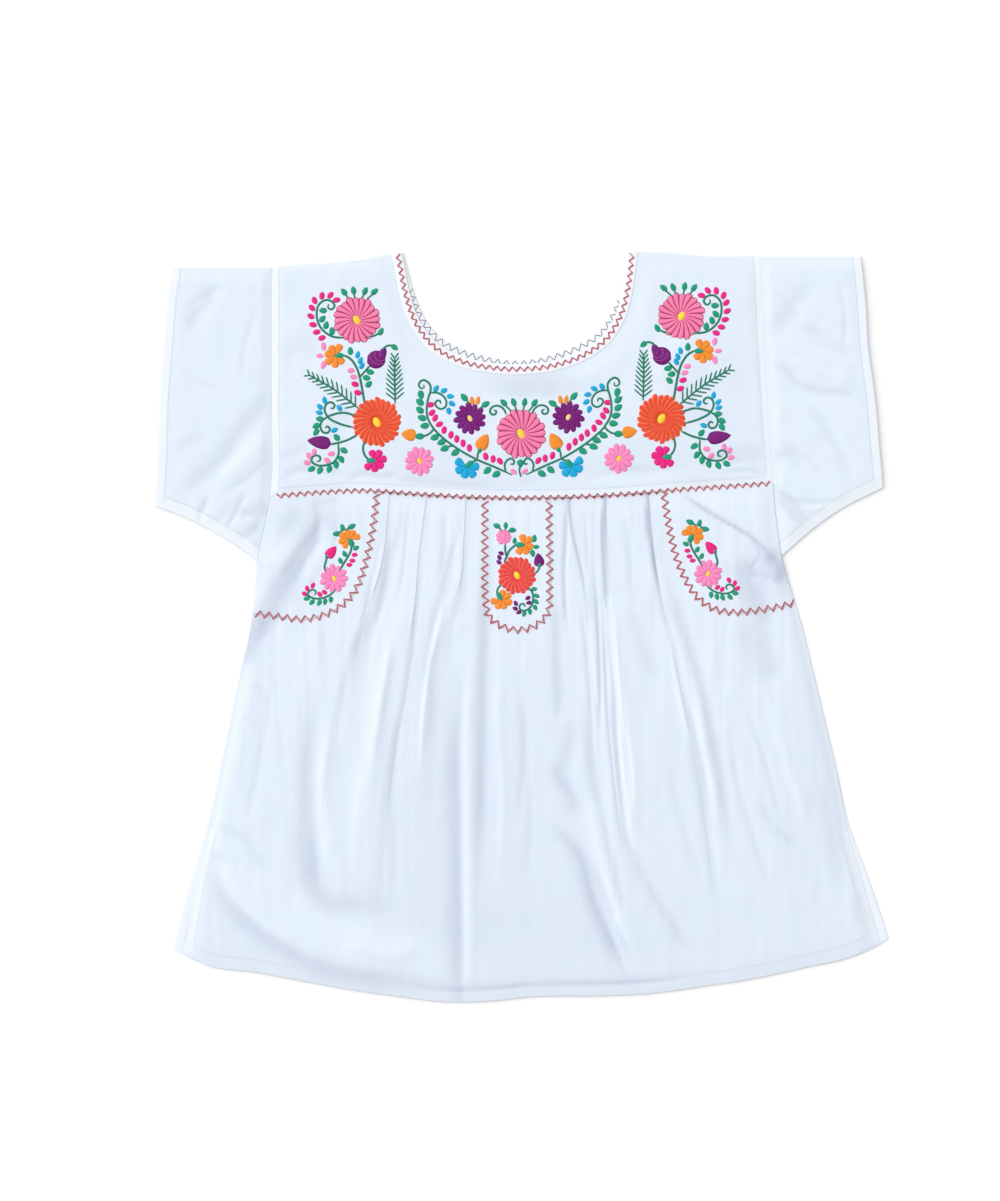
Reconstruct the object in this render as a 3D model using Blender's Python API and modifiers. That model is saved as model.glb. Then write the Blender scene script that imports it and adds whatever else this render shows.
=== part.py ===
"""An embroidered cotton blouse, laid flat on a table with its front up, one object for each sewn piece.

X runs to the viewer's right of the blouse, Y from the hem to the neck, Z up from the table.
The tables hold millimetres. The origin is the middle of the blouse's underside.
"""

import math

import bmesh
import bpy
import numpy as np
from mathutils import Vector
from mathutils.bvhtree import BVHTree

MM = 0.001

# Cloth and seams
CLOTH = 1.0  # wall of one layer
HEM_CLOTH = 1.3  # wall where the edge is turned under
BAND_CLOTH = 1.4  # the doubled strip that binds the neck
LAYER_GAP = 0.3  # air between two layers that lie on each other
SEAM_GAP = 0.3  # air between two pieces along a seam
PANEL_GAP = 0.5  # air between the front and a piece sewn on it
FRONT_MID = CLOTH + LAYER_GAP + CLOTH / 2  # height of the middle of the front layer's wall
FOLD_RADIUS = 0.65  # middle of the wall round a pleat or a folded edge
HEM_WIDTH = 12.0
CUFF_HEM_WIDTH = 9.0
SLEEVE_LENGTH = 110.0
NECK_BAND_WIDTH = 10.0

# The outline's middle, taken off every point so that the origin is the middle of the box
CENTRE_X = -0.53
CENTRE_Y = 0.45

# Where the yoke meets the pleated front: x, y
YOKE_SEAM = (
    (-238, 124.5),
    (-197, 128),
    (-150, 130),
    (-95, 126.5),
    (-35, 123.5),
    (25, 123.5),
    (87, 126),
    (150, 131),
    (208, 135),
    (242, 137.5),
)

# Front hem, lowest edge of the blouse: x, y
FRONT_HEM = (
    (-322, -309),
    (-300, -320),
    (-254, -327),
    (-206, -336),
    (-159, -344.5),
    (-111, -351),
    (-70, -355.5),
    (-30, -354.5),
    (10, -350.5),
    (79, -349.5),
    (126, -347),
    (174, -340.5),
    (221, -333),
    (269, -322.5),
    (316, -310.5),
    (338, -299),
)

# Side seams and the slits below them. The back stands out past the front at the slits.
# y, left front, left back, right front, right back
SIDES = (
    (-356, -333, -344, 356, 368),
    (-309, -322, -332, 343, 352),
    (-283, -317, -326, 335.5, 344),
    (-235, -308, -312.5, 321.5, 327.5),
    (-188, -297.5, -298.5, 308.5, 310.5),
    (-140, -287.5, -287.5, 299.5, 299.5),
    (-93, -278, -278, 288.5, 288.5),
    (-45, -268, -268, 277, 277),
    (2, -257.5, -257.5, 265.5, 265.5),
    (26, -254.5, -254.5, 258.5, 258.5),
    (50, -252.5, -252.5, 251, 251),
    (62, -251.5, -251.5, 247.6, 247.6),
    (76, -248.8, -248.8, 245.3, 245.3),
    (90, -245.9, -245.9, 243.2, 243.2),
    (105, -242.7, -242.7, 241.2, 241.2),
    (120, -239.8, -239.8, 239.7, 239.7),
    (140, -237.7, -237.7, 238.6, 238.6),
    (205, -237.5, -237.5, 234, 234),
    (275, -237.5, -237.5, 230, 230),
    (358, -237.5, -237.5, 226, 226),
)

# Shoulder line of the yoke from the armhole to the neck, with the neck cut out between: x, y
LEFT_SHOULDER = ((-237.5, 342), (-206, 344.5), (-159, 348), (-124, 355))
RIGHT_SHOULDER = ((226, 352.5), (174, 352.5), (126, 356), (110, 356.3))

# Seam between the yoke and the front neck band, left shoulder to right: x, y
NECK_SEAM = (
    (-124, 355),
    (-121.5, 342),
    (-115, 311),
    (-104.5, 284),
    (-84, 260),
    (-59, 247.5),
    (-31, 241.5),
    (1, 240),
    (35, 244.5),
    (60, 253.5),
    (83, 269.5),
    (98, 293),
    (106.5, 325),
    (110, 356.3),
)
# How far the back's neck seam lies inside the front's, by the share of the way round
BACK_NECK_RISE = ((0, 1.0), (0.22, 5.5), (0.36, 6.5), (0.5, 3.5), (0.64, 6.5), (0.78, 5.0), (1, 1.0))

# Sleeve ends: cuff edge as y, x, and the underarm edge as x, y from the body to the cuff
LEFT_CUFF = (
    (60, -349.5), (121, -348.5), (169, -346), (216, -344.5), (264, -340.5), (311, -336.5),
    (342, -332),
)
LEFT_UNDERARM = (
    (-351, 116), (-339, 111.5), (-317, 103), (-292, 90), (-274, 79), (-259, 69), (-250, 61.5),
)
LEFT_SLEEVE_TOP = ((-351, 342), (-237, 342))
RIGHT_CUFF = ((60, 346), (131, 343), (169, 339.5), (216, 335.5), (264, 329), (311, 326), (353, 321.5))
RIGHT_UNDERARM = ((240, 61.5), (251, 71.5), (271, 89), (301, 111), (335, 128.5), (346, 134))
RIGHT_SLEEVE_TOP = ((225, 352.5), (346, 353))

# Pleats of the front, left to right. Each stands from its visible edge outwards, over itself.
# The edge runs down through points x, y; it has opened out into a soft fold at y "open".
# name, outward direction, depth at the yoke, open, edge
PLEATS = (
    ("left_outer", -1, 16, -105, (
        (-126, 130), (-132, 68), (-145, 20), (-162, -23), (-173, -64), (-180, -105), (-186, -150),
        (-190, -356),
    )),
    ("left_middle", -1, 15, -200, (
        (-90, 130), (-98, 68), (-102, 20), (-108, -28), (-114, -72), (-123, -113), (-131, -161),
        (-134, -208), (-138, -356),
    )),
    ("left_inner", -1, 15, -95, (
        (-53, 130), (-55, 92), (-59, 39), (-70, -4), (-78, -40), (-84, -90), (-88, -150),
        (-92, -356),
    )),
    ("right_inner", 1, 15, -150, (
        (44, 130), (47, 95), (58, 44), (62, 5), (68, -53), (72, -84), (78, -136), (85, -197),
        (92, -356),
    )),
    ("right_middle", 1, 15, -95, (
        (79, 130), (80, 68), (83, 24), (87, -28), (93, -80), (100, -130), (108, -190), (122, -260),
        (140, -356),
    )),
    ("right_outer", 1, 16, -160, (
        (119, 130), (124, 80), (129, 44), (137, 5), (147, -28), (155, -64), (162, -100),
        (172, -149), (179, -197), (192, -356),
    )),
)
OPEN_ANGLE = 0.14  # slope left where a pleat has opened out, radians
OPEN_RISE = 1.0  # height of that slope
OPEN_BEND = 3.0  # length of the bend at its foot and at its top
CLOSED_SHARE = 0.72  # share of the way down that a pleat stays folded flat
LEAST_LAP = 2.4
LEAST_RUN = 0.3

# Soft folds as ridges (+) and troughs (-) over the lie of the cloth.
# height, width to the left of its direction, width to the right, then x, y along it
BODY_FOLDS = (
    (-1.7, 10, 9, (
        (-196, -64), (-202, -125), (-203, -160), (-199, -215), (-197, -245), (-183, -263),
        (-156, -265), (-118, -268),
    )),
    (1.3, 9, 9, ((-181, -95), (-187, -140), (-184, -200), (-176, -238))),
    (4.2, 27, 8, (
        (-290, -200), (-278, -243), (-250, -272), (-210, -298), (-168, -313), (-110, -324),
        (-62, -332),
    )),
    (-1.6, 8, 9, ((-212, -226), (-226, -250), (-218, -268))),
    (-0.9, 5, 5, ((-294, -188), (-264, -200), (-250, -218), (-238, -239))),
    (2.6, 7, 9, ((-47, -10), (-50, -80), (-50, -150), (-49, -250), (-50, -340))),
    (-1.6, 8, 7, ((-52, -24), (-61, -76), (-65, -125), (-61, -190), (-60, -250), (-56, -325))),
    (-1.6, 7, 6, ((-36, 20), (-35, -69), (-36, -164), (-41, -221), (-39, -320))),
    (-2.0, 7, 9, ((50, 0), (51, -64), (44, -100), (37, -140), (48, -172), (57, -190))),
    (-2.6, 9, 8, (
        (28, -184), (42, -199), (56, -214), (64, -243), (70, -263), (81, -288), (91, -312),
        (104, -335),
    )),
    (2.2, 7, 8, ((66, -150), (74, -195), (84, -235), (94, -275), (108, -320))),
    (-1.3, 5, 5, ((62, -76), (68, -136), (77, -185), (88, -232), (100, -285))),
    (1.8, 7, 6, ((94, -20), (98, -57), (103, -100), (107, -149), (104, -200), (112, -235))),
    (-1.5, 6, 6, ((90, -165), (107, -216), (122, -246), (142, -279), (160, -302), (180, -305))),
    (-1.5, 6, 6, ((136, 60), (152, 8), (169, -48), (179, -91), (187, -132), (196, -185), (203, -225))),
    (-1.6, 8, 7, ((166, -135), (174, -188), (179, -226), (184, -262))),
    (1.3, 6, 6, ((160, -30), (169, -80), (178, -130), (187, -180))),
    (-1.7, 9, 9, ((281, -130), (287, -175), (295, -215), (302, -250))),
    (-1.4, 13, 16, ((216, 10), (228, -20), (244, -55))),
    (-1.5, 10, 10, ((-252, 14), (-246, -10), (-240, -34))),
    (-1.3, 6, 6, ((26, 0), (26, -35), (27, -66))),
    (-1.1, 5, 5, ((26, -128), (38, -146), (50, -162), (58, -182))),
    (-1.2, 5, 5, ((-109, 108), (-121, 77), (-133, 24), (-150, -17), (-157, -60))),
    (-1.3, 5, 5, ((-64, 90), (-70, 44), (-82, 5), (-88, -33), (-92, -75))),
    (2.0, 6, 7, ((-121, 0), (-128, -40), (-136, -80), (-142, -125), (-146, -185))),
    (-0.8, 7, 7, ((104, 18), (119, -23), (134, -56))),
    (-2.3, 12, 10, (
        (-189, 112), (-191, 94), (-201, 77), (-215, 57), (-226, 40), (-231, 18), (-242, -22),
    )),
    (1.1, 8, 8, ((-197, 114), (-206, 96), (-220, 76), (-233, 52))),
    (1.3, 6, 6, ((-184, 104), (-185, 88), (-198, 59), (-208, 36))),
    (-1.0, 4, 4, ((-203, 117), (-186, 119), (-170, 121))),
    (-1.9, 4, 3, (
        (150, 126), (160, 121), (173, 112), (188, 103), (204, 94), (220, 84), (231, 73), (238, 64),
    )),
    (1.5, 8, 4, ((158, 132), (176, 120), (196, 108), (214, 99), (230, 88))),
    (-1.9, 11, 11, ((216, 72), (212, 50), (222, 28), (238, -4))),
    (1.4, 8, 7, ((226, 66), (234, 45), (243, 22))),
)
YOKE_FOLDS = (
    (-0.7, 6, 6, ((-226, 140), (-212, 151), (-190, 150), (-160, 144))),
    (-0.6, 7, 7, ((-130, 143), (-80, 140), (-20, 136), (50, 139))),
    (-0.7, 5, 6, ((190, 160), (212, 162), (233, 163))),
    (-0.6, 8, 8, ((-228, 256), (-210, 266), (-190, 262))),
    (0.9, 14, 14, ((-180, 320), (-150, 270), (-120, 220))),
    (0.9, 14, 14, ((180, 322), (152, 272), (116, 224))),
    (0.8, 18, 18, ((-70, 215), (0, 200), (70, 214))),
    (-0.6, 9, 9, ((-150, 238), (-165, 200), (-190, 180))),
    (-0.6, 9, 9, ((150, 236), (168, 205), (200, 190))),
)
LEFT_SLEEVE_FOLDS = (
    (-1.1, 7, 7, ((-288, 322), (-300, 307), (-311, 292), (-316, 276))),
    (-2.1, 9, 12, ((-236, 236), (-247, 206), (-268, 182), (-283, 160), (-305, 140), (-324, 126))),
    (1.1, 10, 10, ((-240, 180), (-262, 158), (-285, 136))),
    (-1.5, 5, 5, ((-270, 109), (-255, 108), (-238, 116))),
    (-1.2, 5, 5, ((-270, 84), (-258, 88), (-246, 99))),
    (-0.8, 4, 4, ((-291, 96), (-282, 108), (-273, 118))),
    (-0.6, 6, 6, ((-328, 170), (-307, 178), (-295, 178))),
)
RIGHT_SLEEVE_FOLDS = (
    (-1.5, 7, 7, ((262, 287), (280, 279), (296, 267), (322, 255))),
    (-2.3, 6, 7, ((236, 250), (253, 243), (267, 229), (281, 224), (303, 222), (328, 215))),
    (-1.4, 7, 7, ((272, 212), (287, 195), (298, 174), (308, 156), (314, 136))),
    (-1.0, 6, 6, ((236, 163), (255, 163), (270, 149))),
    (-2.0, 5, 5, ((243, 128), (257, 117), (269, 104), (283, 94))),
    (-0.9, 9, 9, ((231, 283), (247, 288), (262, 310), (282, 327))),
    (1.0, 9, 9, ((250, 262), (275, 252), (300, 243), (322, 236))),
)
BODY_LIFT = 1.6  # air under the middle of the front
YOKE_LIFT = 1.0
SLEEVE_LIFT = 1.7
SEAM_LIFT = 1.6  # how much the pleats raise the yoke's lower edge
FLOOR_ROUND = 0.35  # rounding where a trough reaches the layer below

# Pieces sewn on the front: outer edge from one end on the yoke seam to the other end, x, y
LEFT_PANEL_EDGE = (
    (-138, 128), (-140.5, 104), (-144, 82), (-150, 57), (-158, 36), (-172, 20.5), (-191, 11),
    (-211, 8), (-231, 10.5), (-254, 13.5),
)
RIGHT_PANEL_EDGE = (
    (134.5, 128), (137, 109), (141.5, 85), (146.5, 66), (156, 44), (167, 28), (181.5, 18),
    (200, 14.5), (221, 16), (242, 19.5), (259, 23.5),
)
TAB_EDGE = (
    (-35.5, 121), (-35.5, 70), (-35, 30), (-32, 11), (-20, 1.5), (-4, -2.4), (11, 1), (24, 13),
    (26, 38), (26, 77), (25.5, 121),
)

# How finely each piece is divided
BODY_ROWS = 20
FOLD_STEPS = 3
YOKE_AROUND = (7, 16, 7)
YOKE_RINGS = 6
SLEEVE_ACROSS = 12
SLEEVE_DOWN = 8
BACK_ACROSS = 22
BACK_DOWN = 9
ARMHOLE_SHARE = 0.16  # share of a body panel's height beside the armhole
PANEL_DROP = 475.0  # height of the body panels from the yoke seam to the hem
PANEL_ACROSS = 10
PANEL_DOWN = 8
TAB_ACROSS = 6
TAB_DOWN = 9
TAB_CORNER = 0.41  # share of the tab's outline from the yoke to where its end starts to turn
FACET_REACH = 4.5
FACET_STEPS = [(0.0, 0.0)] + [
    (FACET_REACH * math.cos(k * math.pi / 4), FACET_REACH * math.sin(k * math.pi / 4)) for k in range(8)
]

WHITE_COTTON = (0.83, 0.88, 0.95, 1.0)
DOUBLE_COTTON = (0.93, 0.95, 0.98, 1.0)
COTTON_ROUGHNESS = 0.85


def smooth(knots, values, at):
    """Cubic through the values at the knots, which rise."""
    knots = np.asarray(knots, float)
    values = np.asarray(values, float)
    slopes = np.gradient(values, knots)
    at = np.clip(at, knots[0], knots[-1])
    i = np.clip(np.searchsorted(knots, at, side="right") - 1, 0, len(knots) - 2)
    span = knots[i + 1] - knots[i]
    t = (at - knots[i]) / span
    rise = t * t * (3 - 2 * t)
    leave = t * (1 - t) ** 2 * span
    arrive = t * t * (t - 1) * span
    return values[i] * (1 - rise) + values[i + 1] * rise + slopes[i] * leave + slopes[i + 1] * arrive


def column(table, index):
    return np.array([row[index] for row in table], float)


def height_along(table, x):
    """y of an edge given as x, y."""
    order = np.argsort(column(table, 0))
    return smooth(column(table, 0)[order], column(table, 1)[order], x)


def edge_at(table, y, index=1):
    """x of an edge given as y, x."""
    return smooth(column(table, 0), column(table, index), y)


def along(points, share):
    """Points at the given shares of the length of a smooth line."""
    points = np.asarray(points, float)
    steps = np.hypot(*np.diff(points, axis=0).T)
    knots = np.concatenate([[0.0], np.cumsum(steps)]) / steps.sum()
    return np.stack([smooth(knots, points[:, 0], share), smooth(knots, points[:, 1], share)], axis=-1)


def ease(value):
    value = np.clip(value, 0, 1)
    return value * value * (3 - 2 * value)


def folds_at(points, folds):
    """Sum of the ridges and troughs at points x, y."""
    total = np.zeros(len(points))
    for height, left_width, right_width, path in folds:
        path = along(path, np.linspace(0, 1, 4 * len(path)))
        start = path[:-1]
        step = np.diff(path, axis=0)
        length = np.hypot(*step.T)
        passed = np.concatenate([[0.0], np.cumsum(length)])
        away = points[:, None, :] - start[None]
        t = np.clip((away * step).sum(-1) / length**2, 0, 1)
        miss = away - t[..., None] * step
        distance = np.hypot(miss[..., 0], miss[..., 1])
        nearest = distance.argmin(axis=1)
        rows = np.arange(len(points))
        side = step[nearest, 0] * away[rows, nearest, 1] - step[nearest, 1] * away[rows, nearest, 0]
        width = np.where(side > 0, left_width, right_width)
        share = (passed[nearest] + t[rows, nearest] * length[nearest]) / passed[-1]
        taper = ease(4 * share) * ease(4 * (1 - share)) * 0.85 + 0.15
        total += height * taper * np.exp(-((distance[rows, nearest] / width) ** 2))
    return total


def settle(lift):
    """Keeps a fold from sinking through the layer below, with a soft corner."""
    return np.maximum(lift + np.sqrt(lift * lift + FLOOR_ROUND**2) - FLOOR_ROUND, 0) / 2


def new_object(name, mesh, colour, collection):
    piece = bpy.data.objects.new(name, mesh)
    collection.objects.link(piece)
    material = bpy.data.materials.new(name + "_cotton")
    material.use_nodes = True
    principled = material.node_tree.nodes["Principled BSDF"]
    principled.inputs["Base Color"].default_value = colour
    principled.inputs["Roughness"].default_value = COTTON_ROUGHNESS
    principled.inputs["Metallic"].default_value = 0.0
    material.diffuse_color = colour
    mesh.materials.append(material)
    return piece


def cloth_grid(name, points, colour, collection, thick=None, thickness=CLOTH, offset=0.0, tube=False):
    """A wall of cloth through a grid of points, given as rows by columns by x, y, z.

    thick marks, from 0 to 1, where the wall grows from CLOTH to HEM_CLOTH.
    """
    rows, columns = points.shape[:2]
    across = points[:-1, 1:, :2] - points[:-1, :-1, :2]
    down = points[1:, :-1, :2] - points[:-1, :-1, :2]
    if not tube and (across[..., 0] * down[..., 1] - across[..., 1] * down[..., 0]).sum() < 0:
        points = points[::-1]
        thick = None if thick is None else thick[::-1]
    sheet = bmesh.new()
    bmesh.ops.create_grid(sheet, x_segments=columns - 1, y_segments=rows - 1, size=0.5)
    sheet.verts.ensure_lookup_table()
    places = []
    for vert in sheet.verts:
        i = round((vert.co.x + 0.5) * (columns - 1))
        j = round((vert.co.y + 0.5) * (rows - 1))
        places.append((j, i))
    weights = []
    for vert, (j, i) in zip(sheet.verts, places):
        x, y, z = points[j, i]
        vert.co = Vector(((x - CENTRE_X) * MM, (y - CENTRE_Y) * MM, z * MM))
        weights.append(0.0 if thick is None else float(thick[j, i]))
    if tube:
        joined = {}
        for vert, (j, i) in zip(sheet.verts, places):
            joined[(j, i)] = vert
        last_to_first = {joined[(j, columns - 1)]: joined[(j, 0)] for j in range(rows)}
        kept = [weight for weight, (j, i) in zip(weights, places) if i < columns - 1]
        bmesh.ops.weld_verts(sheet, targetmap=last_to_first)
        weights = kept
    mesh = bpy.data.meshes.new(name)
    sheet.to_mesh(mesh)
    sheet.free()
    piece = new_object(name, mesh, colour, collection)
    wall = piece.modifiers.new("wall", "SOLIDIFY")
    wall.offset = offset
    wall.thickness = thickness * MM
    if thick is not None:
        group = piece.vertex_groups.new(name="hem")
        for index, weight in enumerate(weights):
            group.add([index], weight, "REPLACE")
        wall.thickness = HEM_CLOTH * MM
        wall.vertex_group = group.name
        wall.thickness_vertex_group = CLOTH / HEM_CLOTH
    return piece


def pleat_section(depth, openness):
    """Cross-section of one pleat from its inner foot to its outer top, as outward and upward steps."""
    share = min(openness / CLOSED_SHARE, 1.0)
    lap = (depth - 2 * FOLD_RADIUS) * (1 - share) + LEAST_LAP * share
    opening = float(ease((openness - CLOSED_SHARE) / (1 - CLOSED_SHARE)))
    angle = math.pi * (1 - opening) + OPEN_ANGLE * opening
    radius = (math.pi * FOLD_RADIUS * (1 - opening) + OPEN_BEND * opening**3) / angle
    turn = np.linspace(0, angle, FOLD_STEPS + 1)
    out = radius * np.sin(turn)
    up = radius * (1 - np.cos(turn))
    run = lap
    if opening > 0:
        rise = 4 * FOLD_RADIUS * (1 - opening) + OPEN_RISE * opening
        needed = max((rise - 2 * up[-1]) / math.sin(angle), LEAST_RUN)
        run = min(needed, lap) if angle > math.pi / 2 else needed
    leg = np.array([run * math.cos(angle), run * math.sin(angle)])
    first = np.stack([out, up], axis=-1)
    second_start = first[-1] + leg
    second = second_start + (first[-1] - first[::-1])
    section = np.concatenate([first, second])
    middle = (section[0] + section[-1]) / 2
    section[:, 0] += (FOLD_RADIUS + run / 2) * (1 - opening) - middle[0]
    return section


def body_layout(hem_row):
    """Front panel as rows of x, y, z and the hem's mark, from the yoke seam down to the hem."""
    down = np.concatenate([np.linspace(0, hem_row, BODY_ROWS - 1), [1.0]])
    key_top = [float(edge_at(SIDES, 125, 1))]
    key_top += [smooth(column(p[4][::-1], 1), column(p[4][::-1], 0), 125.0) for p in PLEATS]
    key_top += [float(edge_at(SIDES, 137, 3))]
    key_bottom = [FRONT_HEM[0][0]]
    key_bottom += [p[4][-1][0] for p in PLEATS]
    key_bottom += [FRONT_HEM[-1][0]]
    grid = []
    for v in down:
        y_keys = [
            float(height_along(YOKE_SEAM, top)) * (1 - v) + float(height_along(FRONT_HEM, bottom)) * v
            for top, bottom in zip(key_top, key_bottom)
        ]
        grid.append(body_row(v, y_keys, key_top, key_bottom))
    points = np.array([[column_[:3] for column_ in row] for row in grid])
    lift_at = np.array([[column_[3] for column_ in row] for row in grid])
    return points, lift_at, down


def body_row(v, y_keys, key_top, key_bottom):
    """One row across the front: x, y, z of the wall's middle and the x where its folds are read."""
    stations = []
    left = float(edge_at(SIDES, y_keys[0], 1)) + SEAM_GAP / 2
    right = float(edge_at(SIDES, y_keys[-1], 3)) - SEAM_GAP / 2
    edges = []
    for (_, outward, depth, opened, path), y in zip(PLEATS, y_keys[1:-1]):
        edge = float(smooth(column(path[::-1], 1), column(path[::-1], 0), y))
        openness = float(np.clip((125 - y) / (125 - opened), 0, 1))
        section = pleat_section(depth, openness)
        edges.append((outward, edge, section))

    def plain(x, z):
        stations.append((x, z, x))

    def folded(outward, edge, section):
        """The pleat's own columns, left to right."""
        for q, up in section[::outward]:
            stations.append((edge + outward * q, up, edge))

    top_of = [section[-1][1] for _, _, section in edges]
    outer = [edge + outward * (section[:, 0].max() + 1.0) for outward, edge, section in edges]
    inner = [edge + outward * (min(section[:, 0].min(), 0.0) - 1.0) for outward, edge, section in edges]
    for share in (0.0, 0.12, 0.3, 0.5, 0.7, 0.87):
        x = left + (outer[0] - left) * share
        plain(x, top_of[0] * float(ease((share - 0.3) / 0.7)))
    stations.append((outer[0], top_of[0], edges[0][1]))
    folded(*edges[0])
    for k in (0, 1):
        here = inner[k]
        there = outer[k + 1]
        plain(here, 0.0)
        plain((here + there) / 2, top_of[k + 1] * 0.5)
        stations.append((there, top_of[k + 1], edges[k + 1][1]))
        folded(*edges[k + 1])
    centre_left = inner[2]
    centre_right = inner[3]
    for share in np.linspace(0, 1, 7):
        plain(centre_left + (centre_right - centre_left) * share, 0.0)
    for k in (3, 4):
        folded(*edges[k])
        stations.append((outer[k], top_of[k], edges[k][1]))
        here = outer[k]
        there = inner[k + 1]
        plain((here + there) / 2, top_of[k] * 0.5)
        plain(there, 0.0)
    folded(*edges[5])
    stations.append((outer[5], top_of[5], edges[5][1]))
    for share in (0.13, 0.3, 0.5, 0.7, 0.88, 1.0):
        x = outer[5] + (right - outer[5]) * share
        plain(x, top_of[5] * (1 - float(ease(share / 0.7))))

    keys = [left] + [edge for _, edge, _ in edges] + [right]
    row = []
    for x, z, read_at in stations:
        top_x = np.interp(x, keys, key_top)
        bottom_x = np.interp(x, keys, key_bottom)
        top_y = float(height_along(YOKE_SEAM, top_x)) - SEAM_GAP / 2
        bottom_y = float(height_along(FRONT_HEM, bottom_x))
        row.append((x, top_y * (1 - v) + bottom_y * v, z, read_at))
    return row


def make_front_body(collection):
    hem_row = 1 - HEM_WIDTH / PANEL_DROP
    points, read_x, down = body_layout(hem_row)
    rows, columns = points.shape[:2]
    read = np.stack([read_x, points[..., 1]], axis=-1).reshape(-1, 2)
    lift = (BODY_LIFT + folds_at(read, BODY_FOLDS)).reshape(rows, columns)
    left = points[:, :1, 0]
    right = points[:, -1:, 0]
    from_side = np.minimum(read_x - left, right - read_x)
    from_seam = points[0, :, 1][None] - points[..., 1]
    from_hem = points[..., 1] - points[-1, :, 1][None]
    ends = ease(from_side / 16) * ease(from_seam / 22) * (0.35 + 0.65 * ease(from_hem / 26))
    hem = np.zeros((rows, columns))
    hem[-2:] = 1.0
    points[..., 2] += FRONT_MID + settle(lift * ends) + hem * (HEM_CLOTH - CLOTH) / 2
    return cloth_grid("front_body", points, WHITE_COTTON, collection, thick=hem)


def neck_line(share, inward):
    """The neck seam moved towards the opening by a distance, or by one for each share."""
    here = along(NECK_SEAM, share)
    ahead = along(NECK_SEAM, np.clip(share + 0.004, 0, 1))
    behind = along(NECK_SEAM, np.clip(share - 0.004, 0, 1))
    way = ahead - behind
    way /= np.hypot(way[:, 0], way[:, 1])[:, None]
    return here + np.stack([-way[:, 1], way[:, 0]], axis=-1) * np.reshape(inward, (-1, 1))


def yoke_points(neck, left_column, right_column, gap):
    """Rings from the neck seam out to the armholes and the yoke seam, x and y."""
    sides = YOKE_AROUND
    left_top = LEFT_SHOULDER[0][1]
    right_top = RIGHT_SHOULDER[0][1]
    left_low = float(height_along(YOKE_SEAM, -238)) + gap
    right_low = float(height_along(YOKE_SEAM, 238)) + gap
    outer = []
    for y in np.linspace(left_top, left_low, sides[0] + 1)[:-1]:
        outer.append((float(edge_at(SIDES, y, left_column)) + gap, y))
    left_corner = float(edge_at(SIDES, left_low, left_column)) + gap
    right_corner = float(edge_at(SIDES, right_low, right_column)) - gap
    for x in np.linspace(left_corner, right_corner, sides[1] + 1):
        outer.append((x, float(height_along(YOKE_SEAM, x)) + gap))
    for y in np.linspace(right_low, right_top, sides[2] + 1)[1:]:
        outer.append((float(edge_at(SIDES, y, right_column)) - gap, y))
    outer = np.array(outer)
    rings = []
    for share in np.linspace(0, 1, YOKE_RINGS + 1):
        ring = neck * (1 - share) + outer * share
        ring[0] = along(LEFT_SHOULDER, 1 - share)
        ring[-1] = along(RIGHT_SHOULDER, 1 - share)
        ring[0, 0] = neck[0, 0] * (1 - share) + outer[0, 0] * share
        ring[-1, 0] = neck[-1, 0] * (1 - share) + outer[-1, 0] * share
        ring[0, 1] = float(height_along(LEFT_SHOULDER, ring[0, 0]))
        ring[-1, 1] = float(height_along(RIGHT_SHOULDER, ring[-1, 0]))
        rings.append(ring)
    return np.array(rings)


def around():
    """Shares of the neck seam that face the yoke's outer points."""
    left, bottom, right = YOKE_AROUND
    return np.concatenate(
        [
            np.linspace(0, 0.3, left + 1)[:-1],
            np.linspace(0.3, 0.7, bottom + 1),
            np.linspace(0.7, 1, right + 1)[1:],
        ]
    )


def make_yokes(collection):
    share = around()
    neck = neck_line(share, -SEAM_GAP / 2)
    points = yoke_points(neck, 1, 3, SEAM_GAP / 2)
    flat = points.reshape(-1, 2)
    lift = (YOKE_LIFT + folds_at(flat, YOKE_FOLDS)).reshape(points.shape[:2])
    from_neck = np.hypot(*(points - points[:1]).transpose(2, 0, 1))
    from_edge = np.hypot(*(points - points[-1:]).transpose(2, 0, 1))
    from_top = np.abs(points[..., 1] - 350)
    ends = ease(from_neck / 18) * ease(from_edge / 14) * ease(from_top / 14)
    seam_y = height_along(YOKE_SEAM, points[..., 0])
    near_seam = 1 - ease((points[..., 1] - seam_y) / 26)
    in_pleats = ease((175 - np.abs(points[..., 0])) / 40)
    z = FRONT_MID + settle(lift * ends) + SEAM_LIFT * near_seam * in_pleats
    front = np.concatenate([points, z[..., None]], axis=-1)
    cloth_grid("front_yoke", front, WHITE_COTTON, collection)

    rise = smooth(column(BACK_NECK_RISE, 0), column(BACK_NECK_RISE, 1), share)
    neck = neck_line(share, rise - SEAM_GAP / 2)
    points = yoke_points(neck, 2, 4, SEAM_GAP / 2)
    back = np.concatenate([points, np.zeros(points.shape[:2] + (1,))], axis=-1)
    cloth_grid("back_yoke", back, WHITE_COTTON, collection, offset=1.0)


def make_neck_bands(collection):
    share = around()
    rise = smooth(column(BACK_NECK_RISE, 0), column(BACK_NECK_RISE, 1), share)
    for name, moved, bottom, thickness in (
        ("neck_band_front", np.zeros(len(share)), CLOTH + LAYER_GAP, BAND_CLOTH),
        ("neck_band_back", rise, 0.0, CLOTH),
    ):
        lines = []
        for across in (0.0, 0.5, 1.0):
            inward = SEAM_GAP / 2 + (NECK_BAND_WIDTH - SEAM_GAP / 2) * across
            line = neck_line(share, moved + inward)
            line[0, 1] = NECK_SEAM[0][1] + 1.0 * across
            line[-1, 1] = NECK_SEAM[-1][1] + 0.3 * across
            lines.append(np.concatenate([line, np.full((len(share), 1), bottom)], axis=1))
        cloth_grid(name, np.array(lines), DOUBLE_COTTON, collection, thickness=thickness, offset=1.0)


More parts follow.
